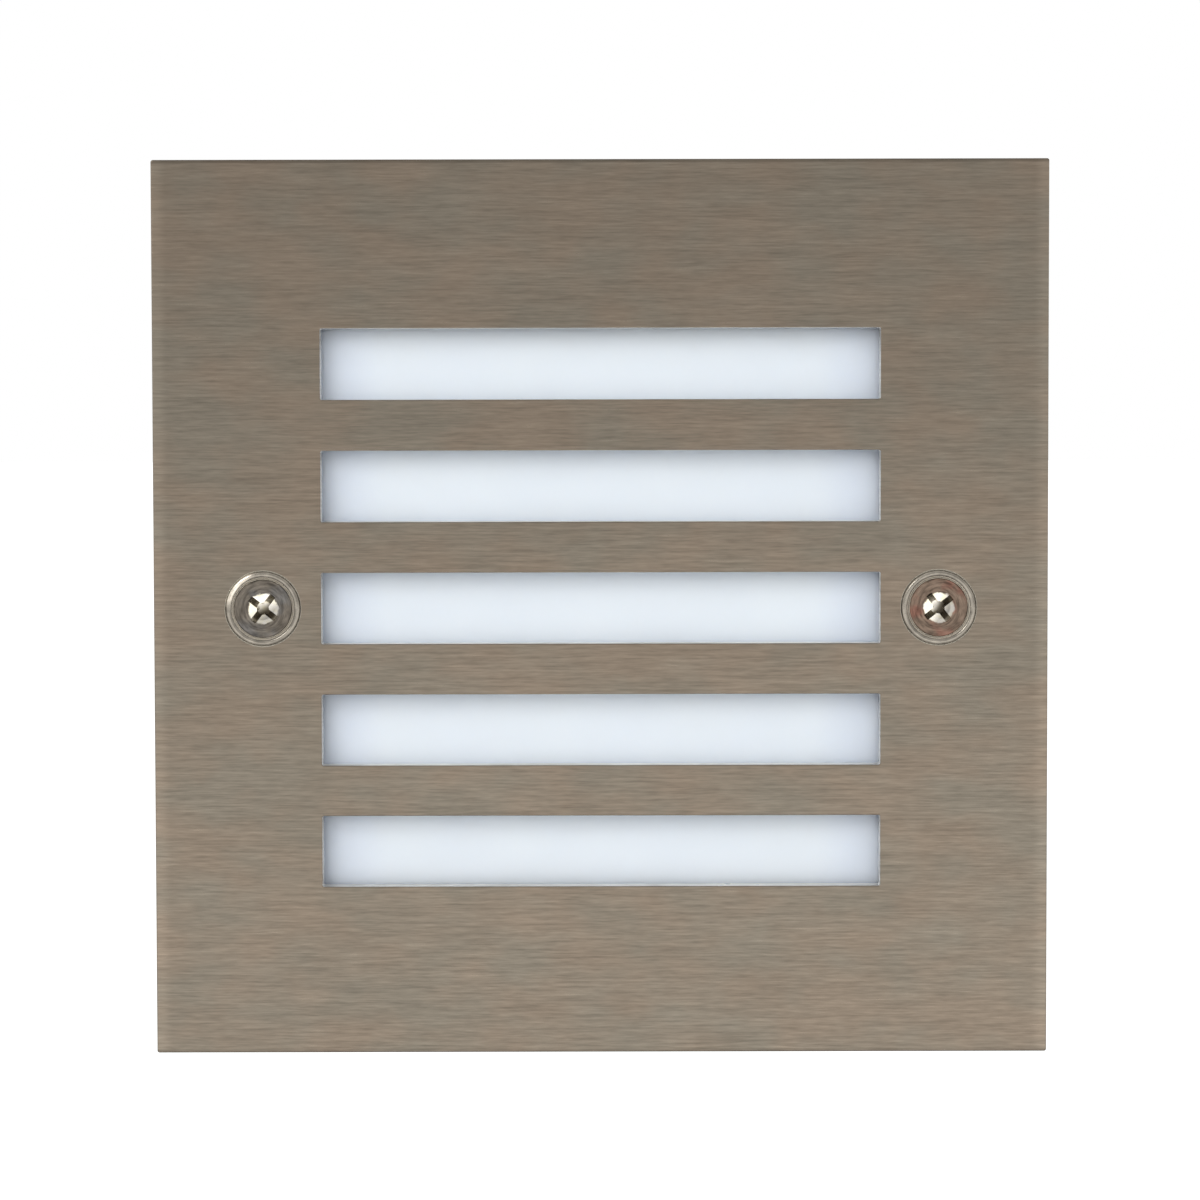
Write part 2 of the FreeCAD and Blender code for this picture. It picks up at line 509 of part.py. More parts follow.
def lead(points, diameter):
    """A round wire along straight runs joined by arcs that touch both runs."""
    edges, start = [], points[0]
    for before, corner, after in zip(points, points[1:], points[2:]):
        run_in, run_out = (before - corner), (after - corner)
        trim = ARC_SHARE * min(run_in.Length, run_out.Length)
        run_in.normalize()
        run_out.normalize()
        half_turn = (math.pi - run_in.getAngle(run_out)) / 2
        radius = trim / math.tan(half_turn)
        print(f"lead bend of radius {radius:.1f}")
        towards = run_in + run_out
        towards.normalize()
        first, last = corner + run_in * trim, corner + run_out * trim
        middle = corner + towards * (radius / math.cos(half_turn) - radius)
        edges += [Part.LineSegment(start, first).toShape()]
        edges += [Part.Arc(first, middle, last).toShape()]
        start = last
    edges.append(Part.LineSegment(start, points[-1]).toShape())
    heading = points[1] - points[0]
    section = Part.Wire([Part.makeCircle(diameter / 2, points[0], heading)])
    return Part.Wire(edges).makePipeShell([section], True, False)


# ============================================================= the face plate
def slot_heights():
    """The height of each light slot's middle, from the lowest up."""
    lowest = -SLOT_FIELD_HALF_HEIGHT + SLOT_HEIGHT / 2
    return [lowest + row * SLOT_PITCH for row in range(SLOT_COUNT)]


def face_plate():
    plate = slab(PLATE_HALF_WIDTH, PLATE_HALF_HEIGHT, PLATE_CORNER_RADIUS, PLATE_FRONT, PLATE_REAR)
    plate = round_edges(plate, PLATE_EDGE_RADIUS, lies_at(PLATE_FRONT))
    for z in slot_heights():
        size = (SLOT_FIELD_HALF_WIDTH, SLOT_HEIGHT / 2, SLOT_CORNER_RADIUS)
        plate = plate.cut(slab(*size, PLATE_FRONT, PLATE_REAR, 0, z))

    def at_a_slot(edge):
        reach = edge.BoundBox
        within = max(abs(reach.XMin), abs(reach.XMax)) <= SLOT_FIELD_HALF_WIDTH + HAIR
        return lies_at(PLATE_FRONT)(edge) and within

    plate = round_edges(plate, SLOT_EDGE_BREAK, at_a_slot)
    outer = CUP_RING_OUTER / 2 + CUP_SEAT_GAP
    seat = [(0, PLATE_FRONT), (outer, PLATE_FRONT), (outer - CUP_DEPTH, PLATE_FRONT + CUP_DEPTH)]
    seat += [(outer - CUP_DEPTH, PLATE_REAR), (0, PLATE_REAR)]
    return plate.cut([turned(seat, side * SCREW_X) for side in MIRRORED])


def face_gasket():
    """A flat frame on the box's flange, widened where it goes round the face screws."""
    depths = (PLATE_REAR, FLANGE_FRONT)
    inner = (BOX_INNER_HALF_WIDTH, BOX_INNER_HALF_HEIGHT, BOX_INNER_CORNER_RADIUS)
    rim = slab(FLANGE_HALF_WIDTH, FLANGE_HALF_HEIGHT, FLANGE_CORNER_RADIUS, *depths)
    rim = rim.cut(slab(*inner, *depths))
    rim = rim.fuse([boss_outline(side, *depths) for side in MIRRORED]).removeSplitter()
    return rim.cut([rod(side * SCREW_X, 0, GASKET_SCREW_HOLE, *depths) for side in MIRRORED])


def diffuser_seal():
    outer = (DIFFUSER_HALF_WIDTH, DIFFUSER_HALF_HEIGHT, SEAL_CORNER_RADIUS)
    inner = (DIFFUSER_HALF_WIDTH - SEAL_WIDTH, DIFFUSER_HALF_HEIGHT - SEAL_WIDTH)
    rim = slab(*outer, PLATE_REAR, DIFFUSER_FRONT)
    return rim.cut(slab(*inner, SEAL_CORNER_RADIUS / 2, PLATE_REAR, DIFFUSER_FRONT))


def diffuser():
    size = (DIFFUSER_HALF_WIDTH, DIFFUSER_HALF_HEIGHT, SEAL_CORNER_RADIUS)
    panel = slab(*size, DIFFUSER_FRONT, DIFFUSER_REAR)
    return round_edges(panel, DIFFUSER_EDGE_RADIUS, lies_at(DIFFUSER_FRONT))


def stud_places():
    return corners(STUD_SPACING / 2, STUD_Z)


def diffuser_retainer():
    """A frame round the diffuser, with a lip behind it and an ear for each stud."""
    outer = (RETAINER_HALF_WIDTH, RETAINER_HALF_HEIGHT, RETAINER_CORNER_RADIUS)
    frame = slab(*outer, DIFFUSER_FRONT, RETAINER_REAR)
    reach = (STUD_Z + EAR_LENGTH / 2) / 2
    ear = (EAR_WIDTH / 2, reach, EAR_CORNER_RADIUS, DIFFUSER_REAR, RETAINER_REAR)
    ears = [slab(*ear, x, math.copysign(reach, z)) for x, z in stud_places()]
    frame = frame.fuse(ears).removeSplitter()
    pocket = slab(
        DIFFUSER_HALF_WIDTH + RETAINER_CLEARANCE,
        DIFFUSER_HALF_HEIGHT + RETAINER_CLEARANCE,
        SEAL_CORNER_RADIUS + RETAINER_CLEARANCE,
        DIFFUSER_FRONT,
        DIFFUSER_REAR,
    )
    window = slab(
        DIFFUSER_HALF_WIDTH - RETAINER_LIP_WIDTH,
        DIFFUSER_HALF_HEIGHT - RETAINER_LIP_WIDTH,
        RETAINER_CORNER_RADIUS,
        DIFFUSER_REAR,
        RETAINER_REAR,
    )
    bore = (STUD_HOLE_DIAMETER, DIFFUSER_REAR, RETAINER_REAR)
    return frame.cut([pocket, window] + [rod(x, z, *bore) for x, z in stud_places()])


def weld_studs():
    tip = RETAINER_REAR + STUD_WASHER_THICKNESS + STUD_NUT_THICKNESS + STUD_PAST_NUT
    shank = STUD_DIAMETER / 2
    depth = STUD_THREAD_PITCH / 2
    profile = [(0, PLATE_REAR), (STUD_FOOT_DIAMETER / 2, PLATE_REAR)]
    profile += [(shank, PLATE_REAR + STUD_FOOT_HEIGHT), (shank, RETAINER_REAR)]
    profile += threaded_side(STUD_DIAMETER, depth, STUD_THREAD_PITCH, RETAINER_REAR, tip)
    profile += [(0, tip)]
    return group([turned(profile, x, z) for x, z in stud_places()])


def stud_washers():
    rear = RETAINER_REAR + STUD_WASHER_THICKNESS
    diameters = (STUD_WASHER_DIAMETER, STUD_HOLE_DIAMETER)
    return group([ring(x, z, *diameters, RETAINER_REAR, rear) for x, z in stud_places()])


def stud_nuts():
    front = RETAINER_REAR + STUD_WASHER_THICKNESS
    rear = front + STUD_NUT_THICKNESS
    bore = STUD_DIAMETER + 2 * SCREW_CLEARANCE
    return group([
        hexagon(x, z, STUD_NUT_ACROSS_FLATS, front, rear).cut(rod(x, z, bore, front, rear))
        for x, z in stud_places()
    ])


# ============================================================= the face screws
def screw_head_top():
    """Where the head's top comes to, sunk in its cup washer."""
    sink = (CUP_RING_INNER - SCREW_HEAD_DIAMETER) / 2 - SCREW_HEAD_RIM - HEAD_GAP
    return PLATE_FRONT + sink


def face_screw(side):
    top = screw_head_top()
    rim_end = top + SCREW_HEAD_RIM
    neck = (SCREW_HEAD_DIAMETER - THREAD_DIAMETER) / 2
    tip = top + SCREW_LENGTH
    head = SCREW_HEAD_DIAMETER / 2
    profile = [(0, top), (head - SCREW_HEAD_EDGE, top), (head, top + SCREW_HEAD_EDGE)]
    profile += [(head, rim_end), (THREAD_DIAMETER / 2, rim_end + neck)]
    thread_start = rim_end + neck + SCREW_PLAIN_NECK
    profile += [(THREAD_DIAMETER / 2, thread_start)]
    profile += threaded_side(
        THREAD_DIAMETER, THREAD_DEPTH, THREAD_PITCH, thread_start, tip - THREAD_DEPTH
    )
    profile += [(THREAD_DIAMETER / 2 - 2 * THREAD_DEPTH, tip), (0, tip)]
    x = MIRRORED[side == "right"] * SCREW_X
    widths = (RECESS_WIDTH, RECESS_ARM, RECESS_FLOOR_WIDTH, RECESS_HEART_WIDTH)
    recess = cross_recess(x, 0, *widths, top, RECESS_DEPTH, RECESS_TURNS[side])
    return turned(profile, x).cut(recess)


def cup_washer(side):
    """The ring round the screw's head, with a rolled rim that stands proud of the plate."""
    x = MIRRORED[side == "right"] * SCREW_X
    outer, inner = CUP_RING_OUTER / 2, CUP_RING_INNER / 2
    floor = PLATE_FRONT + CUP_DEPTH
    rim = PLATE_FRONT - CUP_RING_HEIGHT * CUP_RIM_SHARE

    def at(radius, y):
        return Vector(x + radius, y, 0)

    crown = at((outer + inner) / 2, PLATE_FRONT - CUP_RING_HEIGHT)
    edges = [
        Part.LineSegment(at(outer - CUP_DEPTH, floor), at(outer, PLATE_FRONT)),
        Part.LineSegment(at(outer, PLATE_FRONT), at(outer, rim)),
        Part.Arc(at(outer, rim), crown, at(inner, rim)),
        Part.LineSegment(at(inner, rim), at(inner, PLATE_FRONT)),
        Part.LineSegment(at(inner, PLATE_FRONT), at(inner - CUP_DEPTH, floor)),
        Part.LineSegment(at(inner - CUP_DEPTH, floor), at(outer - CUP_DEPTH, floor)),
    ]
    face = Part.Face(Part.Wire([edge.toShape() for edge in edges]))
    return face.revolve(Vector(x, 0, 0), INTO_WALL, 360)


# ========================================================= the box in the wall
def boss_rear():
    return screw_head_top() + SCREW_LENGTH + TIP_ROOM + BOSS_FLOOR


def boss_outline(side, y_from, y_to):
    """The block inside the box that a face screw's insert sits in, seen from the front."""
    inner = SCREW_X - INSERT_DIAMETER / 2 - BOSS_INNER_WALL
    outer = BOX_INNER_HALF_WIDTH + BOX_WALL / 2
    half_width = (outer - inner) / 2
    x = side * (outer + inner) / 2
    return slab(half_width, BOSS_HEIGHT / 2, BOSS_CORNER_RADIUS, y_from, y_to, x, 0)


def terminal_fixings():
    """Where the terminal block's fixing screws go, between its poles."""
    return [side * POLE_PITCH / 2 for side in MIRRORED]


def box_shell():
    """The box's walls, floor and flange, and the key ribs round its outside."""
    shell = slab(BOX_HALF_WIDTH, BOX_HALF_HEIGHT, BOX_CORNER_RADIUS, 0, BOX_REAR)
    shell = round_edges(shell, BOX_WALL / 2, lies_at(BOX_REAR))
    flange = (FLANGE_HALF_WIDTH, FLANGE_HALF_HEIGHT, FLANGE_CORNER_RADIUS)
    outside = [slab(*flange, FLANGE_FRONT, 0)]
    sizes = (BOX_HALF_WIDTH, BOX_HALF_HEIGHT, BOX_CORNER_RADIUS)
    rib = [size + KEY_RIB_HEIGHT for size in sizes]
    for number in range(KEY_RIB_COUNT):
        front = (number + 1) * KEY_RIB_PITCH - KEY_RIB_WIDTH / 2
        outside.append(slab(*rib, front, front + KEY_RIB_WIDTH))
    cavity = (BOX_INNER_HALF_WIDTH, BOX_INNER_HALF_HEIGHT, BOX_INNER_CORNER_RADIUS)
    return shell.fuse(outside).removeSplitter().cut(slab(*cavity, FLANGE_FRONT, BOX_FLOOR))


def box_fittings():
    """What stands on the box: bosses, posts with their webs, pads and entry rings."""
    rooted = BOX_FLOOR + BOX_BACK / 2
    added = [boss_outline(side, FLANGE_FRONT, boss_rear()) for side in MIRRORED]
    for x, z in corners(POST_X, POST_Z):
        added.append(rod(x, z, POST_DIAMETER, TRAY_REAR, rooted))
        web = sorted((x, math.copysign(BOX_INNER_HALF_WIDTH + BOX_WALL / 2, x)))
        added.append(block(*web, TRAY_REAR, rooted, z - POST_WEB / 2, z + POST_WEB / 2))
    for x in terminal_fixings():
        added.append(rod(x, TERMINAL_Z, TERMINAL_PAD_DIAMETER, TERMINAL_REAR, rooted))
    inner = ENTRY_WASHER_DIAMETER + 2 * ENTRY_RING_CLEARANCE
    entry_ring = (inner + 2 * ENTRY_RING_WIDTH, inner, rooted, BOX_REAR + ENTRY_RING_HEIGHT)
    return added + [ring(x, z, *entry_ring) for x, z in entry_places()]


def box_holes():
    insert_front = FLANGE_FRONT + INSERT_SINK
    post_hole_end = TRAY_REAR + POST_HOLE_DEPTH
    pad_hole_end = TERMINAL_REAR + TERMINAL_FIX_BITE + SCREW_CLEARANCE
    slot = (FIXING_SLOT_LENGTH, FIXING_SLOT_WIDTH, BOX_FLOOR, BOX_REAR)
    holes = []
    for side in MIRRORED:
        x = side * SCREW_X
        holes.append(rod(x, 0, INSERT_DIAMETER, FLANGE_FRONT, insert_front + INSERT_LENGTH))
        holes.append(rod(x, 0, INSERT_BORE, insert_front, boss_rear() - BOSS_FLOOR))
        holes.append(oblong(side * FIXING_SPACING / 2, FIXING_Z, *slot))
        holes.append(knockout_score(Vector(side, 0, 0), BOX_HALF_WIDTH))
        holes.append(knockout_score(Vector(0, 0, side), BOX_HALF_HEIGHT))
    holes += [rod(x, z, ENTRY_HOLE, BOX_FLOOR, BOX_REAR) for x, z in entry_places()]
    for x, z in corners(POST_X, POST_Z):
        holes.append(rod(x, z, TRAY_SCREW_HOLE, TRAY_REAR, post_hole_end))
    for x in terminal_fixings():
        holes.append(rod(x, TERMINAL_Z, TERMINAL_FIX_HOLE, TERMINAL_REAR, pad_hole_end))
    return holes


def wall_box():
    return box_shell().fuse(box_fittings()).removeSplitter().cut(box_holes())


def knockout_score(outward, half_size):
    """The ring scored in a side wall, where a side entry can be broken out."""
    middle = (KEY_RIB_PITCH * KEY_RIB_COUNT + BOX_FLOOR) / 2
    centre = Vector(0, middle, 0) + outward * half_size
    radius = KNOCKOUT_DIAMETER / 2
    outer = Part.makeCylinder(radius + KNOCKOUT_SCORE_WIDTH, KNOCKOUT_SCORE, centre, -outward)
    return outer.cut(Part.makeCylinder(radius, KNOCKOUT_SCORE, centre, -outward))


def thread_inserts():
    front = FLANGE_FRONT + INSERT_SINK
    rear = front + INSERT_LENGTH
    groove = INSERT_LENGTH / 5
    outer, inner = INSERT_DIAMETER / 2, INSERT_BORE / 2
    profile = [(inner, front), (outer, front)]
    for number in (1, 3):
        start = front + number * groove
        profile += [(outer, start), (outer - INSERT_GROOVE, start)]
        profile += [(outer - INSERT_GROOVE, start + groove), (outer, start + groove)]
    profile += [(outer, rear), (inner, rear)]
    return group([turned(profile, side * SCREW_X) for side in MIRRORED])


# ====================================================== reflector and LED board
def reflector():
    """A white tray whose walls spread from the LED board to the diffuser."""
    flange_front = LED_BOARD_FRONT - REFLECTOR_FLANGE

    def funnel(grow, y_rear):
        mouth = rounded_outline(
            REFLECTOR_MOUTH_HALF_WIDTH + grow,
            REFLECTOR_MOUTH_HALF_HEIGHT + grow,
            REFLECTOR_CORNER_RADIUS + grow,
            REFLECTOR_FRONT,
        )
        foot = rounded_outline(
            REFLECTOR_FOOT_HALF_WIDTH + grow,
            REFLECTOR_FOOT_HALF_HEIGHT + grow,
            REFLECTOR_CORNER_RADIUS + grow,
            y_rear,
        )
        return Part.makeLoft([mouth, foot], True, True)

    outer = funnel(0, LED_BOARD_FRONT)
    inner = funnel(-REFLECTOR_WALL, flange_front)
    window = slab(
        REFLECTOR_WINDOW_HALF_WIDTH,
        REFLECTOR_WINDOW_HALF_HEIGHT,
        REFLECTOR_CORNER_RADIUS,
        flange_front,
        LED_BOARD_FRONT,
    )
    places = corners(REFLECTOR_SCREW_X, REFLECTOR_SCREW_Z)
    holes = [rod(x, z, M3_HOLE, flange_front, LED_BOARD_FRONT) for x, z in places]
    return outer.cut([inner, window] + holes)


def led_board():
    size = (LED_BOARD_HALF_WIDTH, LED_BOARD_HALF_HEIGHT, LED_BOARD_CORNER_RADIUS)
    board = slab(*size, LED_BOARD_FRONT, TRAY_FRONT)
    places = corners(REFLECTOR_SCREW_X, REFLECTOR_SCREW_Z)
    holes = [rod(x, z, M3_HOLE, LED_BOARD_FRONT, TRAY_FRONT) for x, z in places]
    holes.append(rod(0, CONNECTOR_Z, BUSHING_BORE, LED_BOARD_FRONT, TRAY_FRONT))
    return board.cut(holes)


def led_places():
    columns = [LED_PITCH_X * (column - (LED_COLUMNS - 1) / 2) for column in range(LED_COLUMNS)]
    rows = [LED_PITCH_Z * (row - (LED_ROWS - 1) / 2) for row in range(LED_ROWS)]
    return [(x, z) for x in columns for z in rows]


def led_packages():
    front = LED_BOARD_FRONT - LED_THICKNESS
    half_width, half_height = LED_WIDTH / 2, LED_HEIGHT / 2
    depths = (front, LED_BOARD_FRONT)
    return group([
        block(x - half_width, x + half_width, *depths, z - half_height, z + half_height)
        for x, z in led_places()
    ])


def led_phosphors():
    rear = LED_BOARD_FRONT - LED_THICKNESS
    half_width = LED_WIDTH / 2 - LED_PHOSPHOR_MARGIN
    half_height = LED_HEIGHT / 2 - LED_PHOSPHOR_MARGIN
    radius = half_height / 2
    return group([
        slab(half_width, half_height, radius, rear - LED_PHOSPHOR_THICKNESS, rear, x, z)
        for x, z in led_places()
    ])


def lead_offsets():
    """How far each of the two leads lies from the middle of the pair."""
    return {"red": -LEAD_SPACING / 2, "black": LEAD_SPACING / 2}


def led_connector():
    front = LED_BOARD_FRONT - CONNECTOR_DEPTH
    size = (CONNECTOR_WIDTH / 2, CONNECTOR_HEIGHT / 2, CONNECTOR_CORNER_RADIUS)
    body = slab(*size, front, LED_BOARD_FRONT, 0, CONNECTOR_Z)
    body = round_edges(body, CONNECTOR_CORNER_RADIUS, lies_at(front))
    bore = LEAD_DIAMETER + 2 * LEAD_CLEARANCE
    sockets = [
        rod(x, CONNECTOR_Z, bore, LED_BOARD_FRONT - CONNECTOR_DEPTH / 2, LED_BOARD_FRONT)
        for x in lead_offsets().values()
    ]
    return body.cut(sockets)


def reflector_screws():
    seat = LED_BOARD_FRONT - REFLECTOR_FLANGE
    sizes = (M3_SHANK, M3_HEAD, M3_HEAD_HEIGHT, seat, REFLECTOR_SCREW_LENGTH)
    places = corners(REFLECTOR_SCREW_X, REFLECTOR_SCREW_Z)
    return group([pan_screw(x, z, *sizes, turn) for (x, z), turn in zip(places, SCREW_TURNS)])


# ================================================================ the gear tray
def gear_tray():
    size = (TRAY_HALF_WIDTH, TRAY_HALF_HEIGHT, TRAY_CORNER_RADIUS)
    tray = slab(*size, TRAY_FRONT, TRAY_REAR)
    ear_half = (TRAY_EAR_OUTWARD + TRAY_EAR_INWARD) / 2
    ear_shift = TRAY_EAR_OUTWARD - ear_half
    ear_size = (ear_half, ear_half, TRAY_CORNER_RADIUS, TRAY_FRONT, TRAY_REAR)
    ears = [slab(*ear_size, x, z) for x, z in corners(POST_X + ear_shift, POST_Z + ear_shift)]
    flange_half = TRAY_HALF_WIDTH - TRAY_FLANGE_END
    flanges = []
    for side in MIRRORED:
        edges = (side * TRAY_HALF_HEIGHT, side * (TRAY_HALF_HEIGHT - TRAY_THICKNESS))
        depths = (TRAY_REAR, TRAY_REAR + TRAY_FLANGE_DEPTH)
        flanges.append(block(-flange_half, flange_half, *depths, min(edges), max(edges)))
    tray = tray.fuse(ears + flanges).removeSplitter()

    def on_the_fold(edge):
        reach = edge.BoundBox
        off_the_end = abs(abs(reach.ZMin) - TRAY_HALF_HEIGHT) + reach.ZLength
        return lies_at(TRAY_FRONT)(edge) and off_the_end < HAIR and reach.XLength > flange_half

    tray = round_edges(tray, TRAY_FOLD_RADIUS, on_the_fold)
    holes = [rod(0, CONNECTOR_Z, BUSHING_OUTER, TRAY_FRONT, TRAY_REAR)]
    for x, z in corners(POST_X, POST_Z):
        holes.append(rod(x, z, TRAY_SCREW_HOLE, TRAY_FRONT, TRAY_REAR))
    places = corners(REFLECTOR_SCREW_X, REFLECTOR_SCREW_Z)
    places += [(side * DRIVER_SCREW_X, DRIVER_Z) for side in MIRRORED]
    holes += [rod(x, z, M3_HOLE, TRAY_FRONT, TRAY_REAR) for x, z in places]
    return tray.cut(holes)


def tray_screws():
    sizes = (TRAY_SCREW_SHANK, TRAY_SCREW_HEAD, TRAY_SCREW_HEAD_HEIGHT)
    sizes += (TRAY_FRONT, TRAY_SCREW_LENGTH)
    places = corners(POST_X, POST_Z)
    return group([pan_screw(x, z, *sizes, turn) for (x, z), turn in zip(places, SCREW_TURNS)])


def lead_bushing():
    bore, outer = BUSHING_BORE / 2, BUSHING_OUTER / 2
    lip, rear = outer + BUSHING_LIP, TRAY_REAR + BUSHING_LIP_THICKNESS
    profile = [(bore, TRAY_FRONT), (outer, TRAY_FRONT), (outer, TRAY_REAR), (lip, TRAY_REAR)]
    profile += [(lip, rear - BUSHING_LIP_CHAMFER), (lip - BUSHING_LIP_CHAMFER, rear)]
    profile += [(bore, rear)]
    return turned(profile, 0, CONNECTOR_Z)


# =================================================================== the driver
def lead_exits():
    """Where the driver's leads pass its lower wall: colour to (x, y)."""
    y = DRIVER_BOARD_REAR + LEAD_DIAMETER / 2
    exits = {colour: (x, y) for colour, x in lead_offsets().items()}
    for colour, side in (("brown", -1), ("blue", 1)):
        exits[colour] = (side * (POLE_PITCH + LEAD_DIAMETER), y)
    return exits


def driver_case():
    rear = TRAY_REAR + DRIVER_DEPTH - DRIVER_LID
    size = (DRIVER_HALF_WIDTH, DRIVER_HALF_HEIGHT, DRIVER_CORNER_RADIUS)
    case = slab(*size, TRAY_REAR, rear, 0, DRIVER_Z)
    ears = (DRIVER_HALF_WIDTH + DRIVER_EAR_LENGTH, DRIVER_EAR_WIDTH / 2, DRIVER_CORNER_RADIUS)
    ear_depths = (TRAY_REAR, TRAY_REAR + DRIVER_EAR_THICKNESS)
    case = case.fuse(slab(*ears, *ear_depths, 0, DRIVER_Z)).removeSplitter()
    floor = TRAY_REAR + DRIVER_WALL
    inner = (DRIVER_HALF_WIDTH - DRIVER_WALL, DRIVER_HALF_HEIGHT - DRIVER_WALL)
    case = case.cut(slab(*inner, DRIVER_CORNER_RADIUS / 2, floor, rear, 0, DRIVER_Z))
    places = corners(inner[0] - DRIVER_STANDOFF_INSET, inner[1] - DRIVER_STANDOFF_INSET)
    depths = (floor - DRIVER_WALL / 2, floor + DRIVER_STANDOFF)
    standoffs = [rod(x, DRIVER_Z + z, DRIVER_STANDOFF_DIAMETER, *depths) for x, z in places]
    case = case.fuse(standoffs).removeSplitter()
    holes = [rod(side * DRIVER_SCREW_X, DRIVER_Z, M3_HOLE, *ear_depths) for side in MIRRORED]
    radius = LEAD_DIAMETER / 2 + LEAD_CLEARANCE
    for x, y in lead_exits().values():
        start = Vector(x, y, DRIVER_BOTTOM)
        holes.append(Part.makeCylinder(radius, DRIVER_WALL, start, Vector(0, 0, 1)))
    return case.cut(holes)


def driver_lid():
    rear = TRAY_REAR + DRIVER_DEPTH
    front = rear - DRIVER_LID
    size = (DRIVER_HALF_WIDTH, DRIVER_HALF_HEIGHT, DRIVER_CORNER_RADIUS)
    cap = slab(*size, front, rear, 0, DRIVER_Z)
    cap = round_edges(cap, DRIVER_LID / 2, lies_at(rear))
    inset = DRIVER_WALL + DRIVER_LID_CLEARANCE

    def lip_outline(inset):
        size = (DRIVER_HALF_WIDTH - inset, DRIVER_HALF_HEIGHT - inset, DRIVER_CORNER_RADIUS / 2)
        return slab(*size, front - DRIVER_LID_LIP, front, 0, DRIVER_Z)

    lip = lip_outline(inset).cut(lip_outline(inset + DRIVER_WALL))
    return cap.fuse(lip).removeSplitter()


def driver_board_half_width():
    return DRIVER_HALF_WIDTH - DRIVER_WALL - DRIVER_BOARD_GAP


def driver_board():
    half_height = DRIVER_HALF_HEIGHT - DRIVER_WALL - DRIVER_BOARD_GAP
    size = (driver_board_half_width(), half_height, DRIVER_CORNER_RADIUS / 2)
    front = DRIVER_BOARD_REAR - DRIVER_BOARD_THICKNESS
    return slab(*size, front, DRIVER_BOARD_REAR, 0, DRIVER_Z)


def driver_transformer():
    """A wound bobbin in a ferrite core, drawn as one rounded block in another."""
    width, depth, height = TRANSFORMER_SIZE
    front, middle = DRIVER_BOARD_REAR, DRIVER_BOARD_REAR + depth / 2
    radius = width / 4
    place = (TRANSFORMER_X, DRIVER_Z)
    winding = slab(width / 2, height / 2 - CORE_OVERLAP, radius, front, front + depth, *place)
    depths = (middle - depth / 4, middle + depth / 4)
    core = slab(width / 2 - CORE_OVERLAP, height / 2, radius / 4, *depths, *place)
    return winding.fuse(core).removeSplitter()


def driver_capacitors():
    front = DRIVER_BOARD_REAR
    cans = []
    for side, inset, height, radius, length in CAPACITORS:
        x = side * (driver_board_half_width() - inset)
        can = rod(x, DRIVER_Z + height, 2 * radius, front, front + length)
        cans.append(round_edges(can, CAN_EDGE_RADIUS, lies_at(front + length)))
    return group(cans)


def driver_screws():
    seat = TRAY_REAR + DRIVER_EAR_THICKNESS
    sizes = (M3_SHANK, M3_HEAD, M3_HEAD_HEIGHT, seat, DRIVER_SCREW_LENGTH)
    places = [(side * DRIVER_SCREW_X, DRIVER_Z) for side in MIRRORED]
    return group([rear_screw(x, z, *sizes, turn) for (x, z), turn in zip(places, SCREW_TURNS)])


# ==================================================================== the leads
def output_lead(colour):
    """From the driver's lower wall down, then forward through the tray to the LED board."""
    x, y = lead_exits()[colour]
    route = [
        Vector(x, y, DRIVER_BOTTOM + DRIVER_WALL + LEAD_DIAMETER),
        Vector(x, y, CONNECTOR_Z),
        Vector(x, LED_BOARD_FRONT - CONNECTOR_DEPTH / 2, CONNECTOR_Z),
    ]
    return lead(route, LEAD_DIAMETER)


def input_lead(colour):
    """From the driver's lower wall to an outer pole of the terminal block."""
    x, y = lead_exits()[colour]
    pole_x = math.copysign(POLE_PITCH, x)
    route = [
        Vector(x, y, DRIVER_BOTTOM + DRIVER_WALL + LEAD_DIAMETER),
        Vector(x, y, DRIVER_BOTTOM - TERMINAL_DROP * SUPPLY_BEND_SHARE),
        Vector(pole_x, CLAMP_Y, TERMINAL_TOP + TERMINAL_DROP * SUPPLY_ENTRY_SHARE),
        Vector(pole_x, CLAMP_Y, TERMINAL_Z + CLAMP_SCREW_SPACING / 2 - CLAMP_SCREW_DIAMETER),
    ]
    return lead(route, LEAD_DIAMETER)


# ============================================================ the terminal block
def pole_places():
    return [POLE_PITCH * (pole - (POLE_COUNT - 1) / 2) for pole in range(POLE_COUNT)]


def clamp_screw_places():
    heights = [TERMINAL_Z + side * CLAMP_SCREW_SPACING / 2 for side in MIRRORED]
    return [(x, z) for x in pole_places() for z in heights]


def pole_rod(x, diameter, length):
    """An upright bar on a pole's line, level with the middle of the block."""
    start = Vector(x, CLAMP_Y, TERMINAL_Z - length / 2)
    return Part.makeCylinder(diameter / 2, length, start, Vector(0, 0, 1))


def terminal_body():
    size = (TERMINAL_HALF_WIDTH, TERMINAL_HEIGHT / 2, TERMINAL_EDGE_RADIUS)
    body = slab(*size, TERMINAL_FRONT, TERMINAL_REAR, 0, TERMINAL_Z)
    body = round_edges(body, TERMINAL_EDGE_RADIUS / 2, lies_at(TERMINAL_FRONT))
    holes = [pole_rod(x, CLAMP_DIAMETER, TERMINAL_HEIGHT) for x in pole_places()]
    for x, z in clamp_screw_places():
        holes.append(rod(x, z, CLAMP_SCREW_WELL, TERMINAL_FRONT, CLAMP_Y))
    for x in terminal_fixings():
        holes.append(rod(x, TERMINAL_Z, TERMINAL_FIX_WELL, TERMINAL_FRONT, TERMINAL_FIX_SEAT))
        holes.append(rod(x, TERMINAL_Z, TERMINAL_FIX_HOLE, TERMINAL_FIX_SEAT, TERMINAL_REAR))
    return body.cut(holes)


